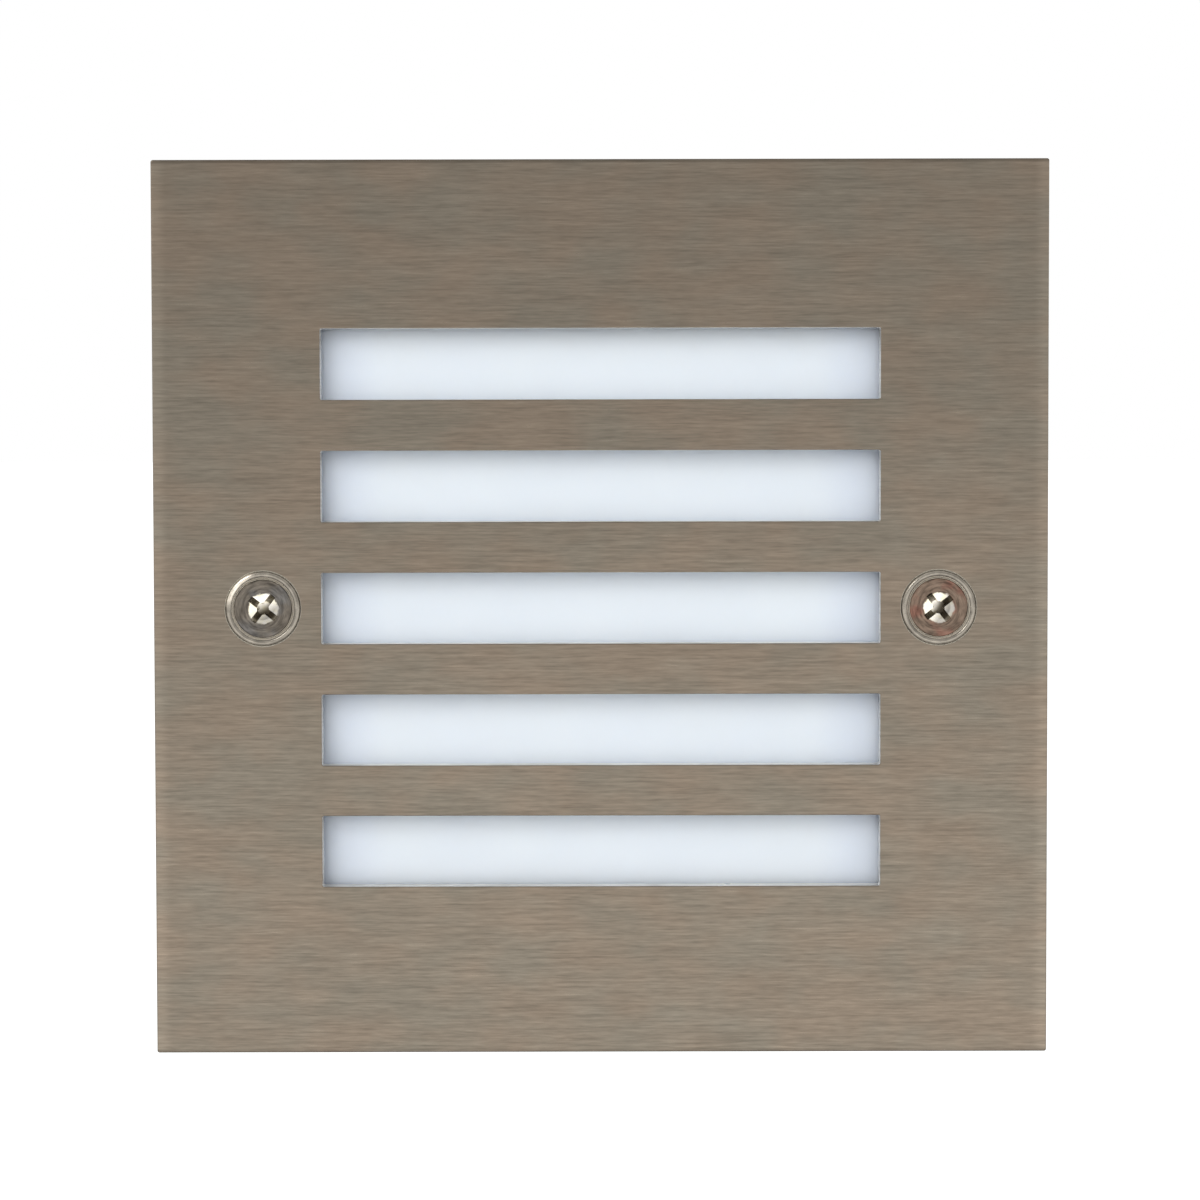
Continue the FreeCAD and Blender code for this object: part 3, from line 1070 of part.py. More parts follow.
def terminal_clamps():
    length = TERMINAL_HEIGHT - 2 * CLAMP_INSET
    places = clamp_screw_places()
    holes = [rod(x, z, CLAMP_SCREW_DIAMETER, TERMINAL_FRONT, CLAMP_Y) for x, z in places]
    holes += [pole_rod(x, CLAMP_BORE, length) for x in pole_places()]
    return group([pole_rod(x, CLAMP_DIAMETER, length).cut(holes) for x in pole_places()])


def terminal_screws():
    """The screws that press on the wires, here down on the leads' thickness."""
    tip = CLAMP_Y - LEAD_DIAMETER / 2
    top = tip - CLAMP_SCREW_LENGTH
    reach, half_slot = CLAMP_SCREW_DIAMETER, CLAMP_SCREW_SLOT_WIDTH / 2
    screws = []
    for x, z in clamp_screw_places():
        depths = (top, top + CLAMP_SCREW_SLOT_DEPTH)
        slot = block(x - reach, x + reach, *depths, z - half_slot, z + half_slot)
        screws.append(rod(x, z, CLAMP_SCREW_DIAMETER, top, tip).cut(slot))
    return group(screws)


def terminal_fixing_screws():
    length = TERMINAL_FIX_FLOOR + TERMINAL_FIX_BITE
    sizes = (TERMINAL_FIX_SHANK, TERMINAL_FIX_HEAD, TERMINAL_FIX_HEAD_HEIGHT)
    sizes += (TERMINAL_FIX_SEAT, length)
    screws = zip(terminal_fixings(), SCREW_TURNS)
    return group([pan_screw(x, TERMINAL_Z, *sizes, turn) for x, turn in screws])


# ============================================================ the cable entries
def entry_places():
    return [(side * ENTRY_X, ENTRY_Z) for side in MIRRORED]


def entry_threaded(x, z, y_front, y_rear):
    """A bar with a cable entry's thread."""
    sizes = (ENTRY_THREAD, ENTRY_THREAD_DEPTH, ENTRY_THREAD_PITCH)
    side = threaded_side(*sizes, y_front, y_rear)
    return turned([(0, y_front)] + side + [(0, y_rear)], x, z)


def entry_washers():
    diameters = (ENTRY_WASHER_DIAMETER, ENTRY_HOLE)
    return group([ring(x, z, *diameters, BOX_REAR, ENTRY_WASHER_REAR) for x, z in entry_places()])


def entry_locknuts():
    depths = (BOX_FLOOR - LOCKNUT_THICKNESS, BOX_FLOOR)
    bore = ENTRY_THREAD + 2 * SCREW_CLEARANCE
    return group([
        hexagon(x, z, ENTRY_HEX, *depths).cut(rod(x, z, bore, *depths))
        for x, z in entry_places()
    ])


def gland_body():
    x, z = entry_places()[0]
    body = entry_threaded(x, z, ENTRY_THREAD_FRONT, ENTRY_WASHER_REAR)
    middle = hexagon(x, z, ENTRY_HEX, ENTRY_WASHER_REAR, GLAND_NECK_FRONT)
    neck = entry_threaded(x, z, GLAND_NECK_FRONT, GLAND_NECK_REAR)
    body = body.fuse([middle, neck]).removeSplitter()
    bore = rod(x, z, GLAND_BORE, ENTRY_THREAD_FRONT, GLAND_NECK_REAR)
    socket = rod(x, z, GLAND_SOCKET, GLAND_SEAL_FRONT, GLAND_NECK_REAR)
    return body.cut([bore, socket])


def gland_seal_radius(y):
    """The seal's outer radius at y, which narrows past the gland's neck."""
    past = max(0.0, y - GLAND_NECK_REAR) / GLAND_SEAL_PROUD
    return GLAND_SEAL_RADIUS - GLAND_SEAL_TAPER * past


def gland_seal():
    """The rubber sleeve that the gland squeezes on the cable."""
    bore = GLAND_SEAL_BORE / 2
    depths = (GLAND_SEAL_FRONT, GLAND_NECK_REAR, GLAND_SEAL_REAR)
    profile = [(bore, GLAND_SEAL_FRONT)]
    profile += [(gland_seal_radius(y), y) for y in depths]
    profile += [(bore, GLAND_SEAL_REAR)]
    return turned(profile, *entry_places()[0])


def gland_nut():
    """The domed nut that closes the gland and bears on the seal's taper."""
    x, z = entry_places()[0]
    front, rear = GLAND_NECK_FRONT + GLAND_NUT_GAP, GLAND_NECK_REAR + GLAND_NUT_CAP
    dome_front = rear - GLAND_NUT_DOME
    skirt = hexagon(x, z, ENTRY_HEX, front, dome_front)
    base = ENTRY_HEX / 2 - GLAND_NUT_CHAMFER
    mouth = GLAND_MOUTH / 2
    dome = [(0, dome_front), (base, dome_front)]
    dome += [(base * CROWN_WIDTH_SHARE, dome_front + GLAND_NUT_DOME * CROWN_HEIGHT_SHARE)]
    dome += [(mouth + GLAND_MOUTH_WALL, rear), (0, rear)]
    thread_bore = ENTRY_THREAD / 2 + GLAND_FIT
    bearing_front = GLAND_NECK_REAR + GLAND_FIT
    bearing_share = (GLAND_SEAL_RADIUS - mouth) / GLAND_SEAL_TAPER
    bearing_rear = GLAND_NECK_REAR + GLAND_SEAL_PROUD * bearing_share
    hollow = [(0, front), (thread_bore, front), (thread_bore, bearing_front)]
    hollow += [(gland_seal_radius(bearing_front), bearing_front), (mouth, bearing_rear)]
    hollow += [(mouth, rear), (0, rear)]
    nut = skirt.fuse(turned(dome, x, z)).removeSplitter()
    return nut.cut(turned(hollow, x, z))


def blanking_plug():
    x, z = entry_places()[1]
    rear = ENTRY_WASHER_REAR + PLUG_HEAD_THICKNESS
    thread = entry_threaded(x, z, ENTRY_THREAD_FRONT, ENTRY_WASHER_REAR)
    head = hexagon(x, z, ENTRY_HEX, ENTRY_WASHER_REAR, rear)
    reach, half_slot = PLUG_SLOT_LENGTH / 2, PLUG_SLOT_WIDTH / 2
    slot = block(x - reach, x + reach, rear - PLUG_SLOT_DEPTH, rear, z - half_slot, z + half_slot)
    return thread.fuse(head).removeSplitter().cut(slot)


# ==================================================================== the parts
PIECES = {
    "face_plate": face_plate,
    "face_gasket": face_gasket,
    "diffuser_seal": diffuser_seal,
    "diffuser": diffuser,
    "diffuser_retainer": diffuser_retainer,
    "weld_studs": weld_studs,
    "stud_washers": stud_washers,
    "stud_nuts": stud_nuts,
    "face_screw_left": lambda: face_screw("left"),
    "face_screw_right": lambda: face_screw("right"),
    "cup_washer_left": lambda: cup_washer("left"),
    "cup_washer_right": lambda: cup_washer("right"),
    "wall_box": wall_box,
    "thread_inserts": thread_inserts,
    "reflector": reflector,
    "reflector_screws": reflector_screws,
    "led_board": led_board,
    "led_packages": led_packages,
    "led_phosphors": led_phosphors,
    "led_connector": led_connector,
    "gear_tray": gear_tray,
    "tray_screws": tray_screws,
    "lead_bushing": lead_bushing,
    "driver_case": driver_case,
    "driver_lid": driver_lid,
    "driver_board": driver_board,
    "driver_transformer": driver_transformer,
    "driver_capacitors": driver_capacitors,
    "driver_screws": driver_screws,
    "lead_red": lambda: output_lead("red"),
    "lead_black": lambda: output_lead("black"),
    "lead_brown": lambda: input_lead("brown"),
    "lead_blue": lambda: input_lead("blue"),
    "terminal_body": terminal_body,
    "terminal_clamps": terminal_clamps,
    "terminal_screws": terminal_screws,
    "terminal_fixing_screws": terminal_fixing_screws,
    "gland_body": gland_body,
    "gland_seal": gland_seal,
    "gland_nut": gland_nut,
    "entry_washers": entry_washers,
    "entry_locknuts": entry_locknuts,
    "blanking_plug": blanking_plug,
}


def main():
    os.makedirs("parts", exist_ok=True)
    for name, make in PIECES.items():
        make().exportStep(os.path.join("parts", name + ".step"))


if __name__ == "__main__":
    main()
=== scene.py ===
"""Looks of a recessed step light: its materials, fine detail, lamps and camera.

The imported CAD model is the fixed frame.  Metres: X runs to the right as seen
from the front, Y into the wall and Z up, from the centre of the cut-out in the
plane of the wall's face.  Colours are linear.
"""

import json
import math

import bmesh
import bpy
from mathutils import Matrix, Vector

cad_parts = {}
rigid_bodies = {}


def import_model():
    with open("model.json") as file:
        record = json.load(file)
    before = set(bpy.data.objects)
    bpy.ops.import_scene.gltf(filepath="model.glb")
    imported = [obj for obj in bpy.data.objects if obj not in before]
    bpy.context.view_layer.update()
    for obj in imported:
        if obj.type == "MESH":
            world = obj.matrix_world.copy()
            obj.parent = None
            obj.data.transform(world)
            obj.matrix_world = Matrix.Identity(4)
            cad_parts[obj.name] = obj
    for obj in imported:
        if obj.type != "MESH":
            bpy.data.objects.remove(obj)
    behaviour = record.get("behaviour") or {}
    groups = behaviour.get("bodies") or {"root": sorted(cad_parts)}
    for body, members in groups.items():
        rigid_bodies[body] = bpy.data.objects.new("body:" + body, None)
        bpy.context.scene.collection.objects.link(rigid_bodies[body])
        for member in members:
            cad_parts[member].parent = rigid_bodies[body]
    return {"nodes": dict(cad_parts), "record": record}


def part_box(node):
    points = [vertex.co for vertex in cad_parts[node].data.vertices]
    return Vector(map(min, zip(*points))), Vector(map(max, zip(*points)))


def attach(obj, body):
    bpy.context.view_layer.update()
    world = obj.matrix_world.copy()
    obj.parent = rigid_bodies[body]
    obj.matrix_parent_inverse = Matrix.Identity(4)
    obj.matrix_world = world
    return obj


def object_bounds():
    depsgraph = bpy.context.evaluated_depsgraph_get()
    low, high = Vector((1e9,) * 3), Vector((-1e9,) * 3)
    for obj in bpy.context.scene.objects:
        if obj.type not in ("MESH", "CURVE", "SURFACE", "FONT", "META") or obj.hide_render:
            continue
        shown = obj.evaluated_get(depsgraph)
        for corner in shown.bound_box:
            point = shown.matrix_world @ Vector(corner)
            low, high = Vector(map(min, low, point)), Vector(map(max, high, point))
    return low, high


MM = 0.001

# The photograph's frame, and the camera that gives its framing.
PHOTO_PIXELS = 1200
SENSOR = 36.0
FOCAL_PIXELS = 3832.0
CAMERA_DISTANCE = 600 * MM
CAMERA_ELEVATION = 3.0  # degrees above the plate's middle
CAMERA_ROLL = -0.12  # degrees
CAMERA_CLIP = (0.01, 100.0)
AIM = (-0.13 * MM, 1.26 * MM)  # the point of the plate in the middle of the picture

FLOOR_DROP = 0.33  # from the lowest point of the light to the floor
FLOOR_SIZE = 60.0
FLOOR_FADE = (0.6, 1.3)  # how far off the floor starts and ends its fade to the white
FLOOR_GLOW = 0.46
FLOOR_COLOUR = (0.58, 0.58, 0.58)
BACKGROUND = (1.0, 1.0, 1.0)
AMBIENT = (1.05, 1.25)  # what matt surfaces get from below and from above

USUAL_NOISE = (0.3, 0.7)  # the range in which nearly all of a noise's values lie
EDGE_FACING = (0.80, 0.98)  # cosine of a soft normal's turn, on a sharp edge and off it
GRAIN = (1.0, 0.02, 0.03)  # along X, but turned so far that no flat face is square to it
SHARP_ANGLE = 40  # degrees between two faces from which an added piece's edge stays sharp

# Places on the model that a finish or a fine detail refers to.
FACE_SCREW_X = 52.9 * MM
HEAD_TOP = -7.2 * MM
HEAD_FACE_DEPTH = 0.1 * MM  # how far below its top the head keeps its dull skin
RECESS_RADIUS = 2.6 * MM
CUP_INNER, CUP_OUTER = 4.9 * MM, 5.8 * MM
SEAT_RADIUS = 5.95 * MM
PLATE_REAR = -4.0 * MM
STUD_PLACE = (30.0 * MM, 51.3 * MM)
PLATE_HALF = 70.0 * MM
SLOTS_HALF = 46.0 * MM  # the slots lie within this of the plate's middle, the screws don't
FLANGE_HALF, FLANGE_CORNER, FLANGE_MIDDLE = 66.5 * MM, 3.0 * MM, -1.0 * MM
BOX_REAR = 62.0 * MM
LED_BOARD_FRONT = 22.0 * MM
LED_PITCH = 18.0 * MM
LED_GRID = 4
LED_HALF_LENGTH = 1.75 * MM
CONNECTOR_Z = -LED_PITCH
CONNECTOR_TRACK_END = 4.2 * MM  # how near the board's middle the connector's tracks come
BUS_FROM_LED = 4.0 * MM

LEAD_COLOURS = {
    "red": (0.42, 0.018, 0.016),
    "black": (0.02, 0.02, 0.02),
    "brown": (0.14, 0.055, 0.022),
    "blue": (0.018, 0.09, 0.40),
}


# ============================================================== node graphs
class Graph:
    """A material's nodes, with short ways to add them and join them."""

    def __init__(self, name):
        self.material = bpy.data.materials.new(name)
        self.material.use_nodes = True
        self.tree = self.material.node_tree
        self.tree.nodes.clear()

    def add(self, kind, inputs=None, **settings):
        """Adds a node; each input is a value, or an output of another node."""
        node = self.tree.nodes.new(kind)
        for key, value in settings.items():
            setattr(node, key, value)
        for key, value in (inputs or {}).items():
            self.fill(node.inputs[key], value)
        return node

    def fill(self, socket, value):
        """Links a socket to another node's output, or sets its value."""
        if isinstance(value, bpy.types.NodeSocket):
            self.tree.links.new(value, socket)
        else:
            socket.default_value = (*value, 1.0) if socket.type == "RGBA" else value

    def math(self, operation, a, b=0.0):
        """A sum, product or other operation on one or two numbers."""
        node = self.add("ShaderNodeMath", operation=operation)
        for socket, value in zip(node.inputs, (a, b)):
            self.fill(socket, value)
        return node.outputs[0]

    def product(self, *factors):
        """All the factors multiplied."""
        result = factors[0]
        for factor in factors[1:]:
            result = self.math("MULTIPLY", result, factor)
        return result

    def vector(self, x, y, z):
        """A vector, or a colour, from three numbers."""
        return self.add("ShaderNodeCombineXYZ", {"X": x, "Y": y, "Z": z}).outputs[0]

    def vector_math(self, operation, a, b=(0, 0, 0), output=0):
        """The same on vectors; output names the node's socket that is wanted."""
        node = self.add("ShaderNodeVectorMath", {0: a, 1: b}, operation=operation)
        return node.outputs[output]

    def place(self, scale=(1, 1, 1), shift=(0, 0, 0)):
        """Object coordinates, shifted and then scaled along each axis."""
        coordinates = self.add("ShaderNodeTexCoord").outputs["Object"]
        if shift != (0, 0, 0):
            coordinates = self.vector_math("SUBTRACT", coordinates, shift)
        inputs = {"Vector": coordinates, "Scale": scale}
        return self.add("ShaderNodeMapping", inputs).outputs["Vector"]

    def along(self, axis):
        """The coordinate along X, Y or Z, in metres."""
        split = self.add("ShaderNodeSeparateXYZ", {"Vector": self.place()})
        return split.outputs[axis]

    def noise(self, scale, detail=2.0, rough=0.5, warp=0.0, shift=(0, 0, 0)):
        """Noise between about 0.2 and 0.8, with so many cells a metre along each axis."""
        scales = (scale,) * 3 if isinstance(scale, (int, float)) else scale
        return self.noise_at(self.place(scales, shift), detail, rough, warp)

    def noise_at(self, vector, detail=2.0, rough=0.5, warp=0.0):
        """The same noise, at a vector that is already scaled."""
        inputs = {"Vector": vector, "Scale": 1.0, "Detail": detail}
        inputs |= {"Roughness": rough, "Distortion": warp}
        return self.add("ShaderNodeTexNoise", inputs).outputs["Fac"]

    def cells(self, scale, feature="F1", spread=1.0):
        """Distance to the nearest of scattered points, so many a metre, or to an edge
        between two of them where feature says so; with no spread they form a grid."""
        inputs = {"Vector": self.place((scale,) * 3), "Scale": 1.0, "Randomness": spread}
        return self.add("ShaderNodeTexVoronoi", inputs, feature=feature).outputs["Distance"]

    def radius(self, x, z, flat=(1, 0, 1)):
        """Distance from a line at x and z, in metres; flat has 0 for the line's axis."""
        return self.vector_math("LENGTH", self.place(flat, (x, 0, z)), output="Value")

    def radius_of_set(self, x, z=0.0):
        """Distance from the nearest of the lines along Y at x or -x and z or -z."""
        across = self.math("SUBTRACT", self.math("ABSOLUTE", self.along("X")), x)
        up = self.math("SUBTRACT", self.math("ABSOLUTE", self.along("Z")), z)
        return self.vector_math("LENGTH", self.vector(across, 0.0, up), output="Value")

    def toward(self, x, degrees, reach):
        """How far a point lies from the line along Y at x in one direction, over reach.

        The direction is in degrees anticlockwise from the right.
        """
        inputs = {"Vector": self.place(shift=(x, 0, 0))}
        split = self.add("ShaderNodeSeparateXYZ", inputs).outputs
        angle = math.radians(degrees)
        right = self.product(split["X"], math.cos(angle) / reach)
        up = self.product(split["Z"], math.sin(angle) / reach)
        return self.math("ADD", right, up)

    def spread(self, value, from_low, from_high, to_low=0.0, to_high=1.0, smooth=False):
        """Maps one range to another, clamped."""
        inputs = {"Value": value, "From Min": from_low, "From Max": from_high}
        inputs |= {"To Min": to_low, "To Max": to_high}
        kind = "SMOOTHSTEP" if smooth else "LINEAR"
        return self.add("ShaderNodeMapRange", inputs, interpolation_type=kind).outputs["Result"]

    def within(self, distance, limit, width):
        """1 up to a limit, and from there falling to 0 over a width."""
        return self.spread(distance, limit, limit + width, 1.0, 0.0)

    def vary(self, noise, low, high):
        """A noise's usual range mapped to another one."""
        return self.spread(noise, *USUAL_NOISE, low, high)

    def blend(self, share, a, b, how="MIX"):
        """Mixes two colours; share is 0 for a and 1 for b."""
        node = self.add("ShaderNodeMix", data_type="RGBA", blend_type=how)
        for key, value in (("Factor_Float", share), ("A_Color", a), ("B_Color", b)):
            self.fill(next(s for s in node.inputs if s.identifier == key), value)
        return next(s for s in node.outputs if s.identifier == "Result_Color")

    def shade(self, colour, amount):
        """A colour made lighter or darker by a factor about 1."""
        return self.blend(1.0, colour, self.vector(amount, amount, amount), "MULTIPLY")

    def bump(self, height, distance, under=None):
        """A normal from a height between 0 and 1, over a distance in metres."""
        inputs = {"Height": height, "Distance": distance}
        if under is not None:
            inputs["Normal"] = under
        return self.add("ShaderNodeBump", inputs).outputs["Normal"]

    def rounded(self, radius):
        """A normal that turns softly round sharp edges, and a mask of those edges."""
        soft = self.add("ShaderNodeBevel", {"Radius": radius}, samples=4).outputs["Normal"]
        true = self.add("ShaderNodeNewGeometry").outputs["Normal"]
        facing = self.vector_math("DOT_PRODUCT", soft, true, output="Value")
        return soft, self.spread(facing, *EDGE_FACING, 1.0, 0.0)

    def across_level_grain(self):
        """The direction on the surface at right angles to a grain that runs along X."""
        normal = self.add("ShaderNodeNewGeometry").outputs["Normal"]
        across = self.vector_math("CROSS_PRODUCT", normal, GRAIN)
        return self.vector_math("NORMALIZE", across)

    def surface(self, **values):
        """Ends the graph in a Principled shader, with names such as Base_Color."""
        inputs = {key.replace("_", " "): value for key, value in values.items()}
        shader = self.add("ShaderNodeBsdfPrincipled", inputs)
        self.end(shader.outputs[0])
        return self.material

    def end(self, shader):
        """Makes a shader the material's surface."""
        self.add("ShaderNodeOutputMaterial", {"Surface": shader})


# ============================================================ face materials
def brushed_stainless():
    """Sheet brushed level: long fine streaks along X, in a warm grey.

    The face's dark warm grey is a painted dark reflection: the slots' cut walls and
    the back keep the steel's own lighter colour.
    The seats cut in it for the face screws are bright and matt, and on its back
    the welded studs have left their heat marks.
    """
    g = Graph("brushed_stainless")
    long = g.noise((120, 120, 2500), rough=0.6, warp=0.15)
    short = g.noise((420, 420, 4200))
    bands = g.noise((16, 16, 420))
    clouds = g.noise(30)
    streaks = g.math("ADD", g.product(long, 0.62), g.product(short, 0.38))
    # the tone holds painted light and shade along the plate's outer edges
    tone = g.product(
        g.vary(streaks, 0.78, 1.22),
        g.vary(bands, 0.96, 1.04),
        g.vary(clouds, 0.98, 1.02),
        painted_edge_light_and_shade(g),
    )
    warm = g.noise((90, 90, 130), shift=(0.3, 0.1, 0.2))
    # painted dark reflection: the face's hue is darker than the steel's own colour
    painted_dark_face_hue = g.blend(g.spread(warm, 0.35, 0.65), (0.174, 0.140, 0.107), (0.160, 0.139, 0.110))
    seat = g.within(g.radius_of_set(FACE_SCREW_X), SEAT_RADIUS, 0.05 * MM)
    # the slots' walls and the back keep the steel's own colour, the face the painted dark hue
    colour = g.blend(sides_keeping_own_colour(g), g.shade(painted_dark_face_hue, tone), g.shade((0.72, 0.70, 0.66), tone))
    colour = g.blend(seat, colour, (0.56, 0.53, 0.46))
    colour = stud_heat_marks(g, colour)
    return g.surface(
        Base_Color=colour,
        Metallic=1.0,
        Roughness=g.math("ADD", g.vary(streaks, 0.35, 0.27), g.product(seat, 0.5)),
        Anisotropic=0.6,
        Tangent=g.across_level_grain(),
        Normal=g.bump(streaks, 0.012 * MM),
    )


def painted_edge_light_and_shade(g):
    """Painted light and shade: lighter towards the plate's sides and a little to its right,
    and darker where its top and foot turn back.
    """
    across, up = g.along("X"), g.along("Z")
    side_start, side_end = PLATE_HALF - 2.6 * MM, PLATE_HALF - 0.6 * MM
    rim_start, rim_end = PLATE_HALF - 0.6 * MM, PLATE_HALF - 0.45 * MM
    sides = g.spread(g.math("ABSOLUTE", across), side_start, side_end, 1.0, 1.19, True)
    drift = g.spread(across, -PLATE_HALF, PLATE_HALF, 0.985, 1.035)
    top = g.spread(up, rim_start, rim_end, 1.0, 0.70)
    foot = g.spread(up, -rim_end, -rim_start, 0.86, 1.0)
    return g.product(sides, drift, top, foot)


def sides_keeping_own_colour(g):
    """1 on the slots' walls and the back, which keep the steel's own colour; 0 on the
    face and its outer edges, where a painted dark reflection darkens it.
    """
    normal = g.add("ShaderNodeNewGeometry").outputs["Normal"]
    turned = g.add("ShaderNodeSeparateXYZ", {"Vector": normal}).outputs["Y"]
    across, up = (g.math("ABSOLUTE", g.along(axis)) for axis in "XZ")
    inner = g.within(g.math("MAXIMUM", across, up), SLOTS_HALF, 1 * MM)
    walls = g.product(g.spread(turned, -0.75, -0.45), inner)
    return g.math("MAXIMUM", walls, g.spread(turned, 0.5, 0.8))


def stud_heat_marks(g, colour):
    """Straw and blue rings round the welded studs, on the plate's back alone."""
    behind = g.spread(g.along("Y"), PLATE_REAR - 0.2 * MM, PLATE_REAR - 0.05 * MM)
    ragged = g.vary(g.noise(500), -0.3 * MM, 0.3 * MM)
    from_stud = g.math("ADD", g.radius_of_set(*STUD_PLACE), ragged)
    straw = g.spread(from_stud, 4.0 * MM, 7.0 * MM, 1.0, 0.0, True)
    blue = g.spread(from_stud, 3.0 * MM, 4.4 * MM, 1.0, 0.0, True)
    colour = g.blend(g.product(straw, behind), colour, (0.30, 0.19, 0.07))
    return g.blend(g.product(blue, behind), colour, (0.05, 0.07, 0.16))


def cup_steel():
    """The rolled rings round the face screws: satin, matt where they face a head, and
    lighter at their outer edge by painted light, the left one with a painted highlight.
    """
    g = Graph("cup_steel")
    radius = g.radius_of_set(FACE_SCREW_X)
    marks = g.noise(900, detail=3.0)
    # painted light: the ring is made lighter towards its outer edge
    painted_rim_tone = g.spread(radius, CUP_OUTER - 0.25 * MM, CUP_OUTER - 0.05 * MM, 1.0, 1.5)
    stains = g.vary(g.noise(260), 0.84, 1.16)
    # the last factor paints a highlight on the left ring's upper left
    tone = g.product(stains, g.vary(marks, 0.8, 1.2), painted_rim_tone, painted_highlight_patch(g))
    throat = g.within(radius, CUP_INNER, 0.06 * MM)
    return g.surface(
        Base_Color=g.blend(throat, g.shade((0.235, 0.212, 0.178), tone), (0.62, 0.58, 0.51)),
        Metallic=1.0,
        Roughness=g.math("ADD", g.vary(marks, 0.18, 0.28), g.product(throat, 0.6)),
        Normal=g.bump(marks, 0.006 * MM),
    )


def painted_highlight_patch(g):
    """Above 1 where a painted highlight lies on the left ring, at its upper left."""
    lean = g.toward(-FACE_SCREW_X, 140, CUP_OUTER)
    patch = g.spread(lean, 0.72, 0.93, 0.0, 1.0, True)
    left_half = g.within(g.along("X"), -1 * MM, 2 * MM)
    return g.spread(g.product(patch, left_half), 0.0, 1.0, 1.0, 3.0)


def turning_marks(g, x, radius):
    """Noise drawn out round the axis of the face screw at x, as a lathe leaves it."""
    split = g.add("ShaderNodeSeparateXYZ", {"Vector": g.place(shift=(x, 0, 0))}).outputs
    rings, scatter = 2400.0, 480.0  # cells a metre, outwards and across
    place = g.vector(
        g.product(radius, rings), g.product(split["X"], scatter), g.product(split["Z"], scatter)
    )
    return g.noise_at(place, detail=3.0, rough=0.65)


def burnish_and_painted_highlight(g, radius, lean, blotch):
    """The recess's colour: bright bare steel, lighter towards its edge, and lightest in a
    painted highlight on one side.
    """
    # painted highlight towards one side, and lighter steel towards the recess's edge
    burnish_and_highlight = g.math(
        "MAXIMUM",
        g.spread(lean, -0.7, 0.4, 0.22, 1.0, True),
        g.spread(radius, 1.2 * MM, 2.0 * MM, 0.0, 0.42, True),
    )
    bright = g.blend(g.spread(blotch, 0.42, 0.60), (0.86, 0.81, 0.73), (0.78, 0.72, 0.55))
    return g.shade(bright, g.product(burnish_and_highlight, g.vary(blotch, 0.9, 1.08)))


def recess_painted_shade(g, radius, depth, lean):
    """Painted shade deep in the recess: round its middle, and on the side away from the painted
    highlight.
    """
    deep = g.spread(depth, 0.15 * MM, 1.2 * MM, 0.0, 1.0, True)
    # painted shade round the recess's middle and on the side away from the highlight
    middle_shade = g.spread(radius, 0.3 * MM, 1.2 * MM, 0.4, 0.0, True)
    far_side_shade = g.spread(lean, -0.3, 0.35, 0.95, 0.12, True)
    return g.product(deep, g.math("MAXIMUM", middle_shade, far_side_shade))


def face_screw_steel(side, x, tint, blush, highlight_side):
    """A face screw: its head turned and dull, its recess bright, with a painted highlight on
    one side.

    tint and blush are the head's two colours.  highlight_side is the direction, in
    degrees anticlockwise from the right, of the painted highlight in the recess.
    """
    g = Graph("screw_steel_" + side)
    radius = g.radius(x, 0.0)
    depth = g.math("SUBTRACT", g.along("Y"), HEAD_TOP)
    lean = g.toward(x, highlight_side, RECESS_RADIUS)
    blotch = g.noise(620, detail=3.0, rough=0.6)
    arcs = turning_marks(g, x, radius)

    inside = g.within(radius, RECESS_RADIUS, 0.1 * MM)
    ragged = g.math("ADD", radius, g.vary(blotch, -0.2 * MM, 0.2 * MM))
    struck = g.spread(ragged, 2.2 * MM, 2.5 * MM, 1.0, 0.0, True)
    below = g.spread(depth, HEAD_FACE_DEPTH, HEAD_FACE_DEPTH + 0.05 * MM)
    flank = g.math("SUBTRACT", below, g.product(below, inside))
    # painted shade deep in the recess
    painted_shade = g.product(inside, recess_painted_shade(g, radius, depth, lean))

    reddish = g.spread(g.noise(330, shift=(0.1, 0, 0.2)), 0.45, 0.68, 0.0, 1.0, True)
    dull = g.shade(g.blend(reddish, tint, blush), g.vary(arcs, 0.45, 1.6))
    # the recess's bare steel, with a painted highlight on one side
    colour = g.blend(struck, dull, burnish_and_painted_highlight(g, radius, lean, blotch))
    # the painted shade darkens the recess
    colour = g.blend(painted_shade, colour, (0.10, 0.082, 0.058))
    colour = g.blend(flank, colour, (0.66, 0.62, 0.55))
    rough = g.math("ADD", g.spread(struck, 0.0, 1.0, 0.40, 0.22), g.product(painted_shade, 0.4))
    relief = g.math("ADD", g.product(arcs, 0.6), g.product(blotch, 0.4))
    return g.surface(
        Base_Color=colour,
        Metallic=1.0,
        Roughness=g.math("ADD", rough, g.product(flank, 0.35)),
        Normal=g.bump(relief, 0.012 * MM),
    )


def opal_plastic():
    """Opal sheet that scatters light: bluish white, finely matt, with painted shade at its
    sides.
    """
    g = Graph("opal_plastic")
    fine = g.noise(6500, detail=1.0)
    # painted shade: the colour darkens towards the sides, where the slots' ends shade it
    painted_rim_tone = g.spread(g.math("ABSOLUTE", g.along("X")), 33 * MM, 42 * MM, 1.0, 0.90, True)
    tone = g.product(g.vary(g.noise(55), 0.985, 1.01), painted_rim_tone)
    return g.surface(
        Base_Color=g.shade((0.728, 0.803, 0.955), tone),
        Roughness=g.vary(fine, 0.30, 0.38),
        IOR=1.49,
        Subsurface_Weight=1.0,
        Subsurface_Radius=(1.0, 1.0, 1.0),
        Subsurface_Scale=7.0 * MM,
        Normal=g.bump(fine, 0.002 * MM),
    )


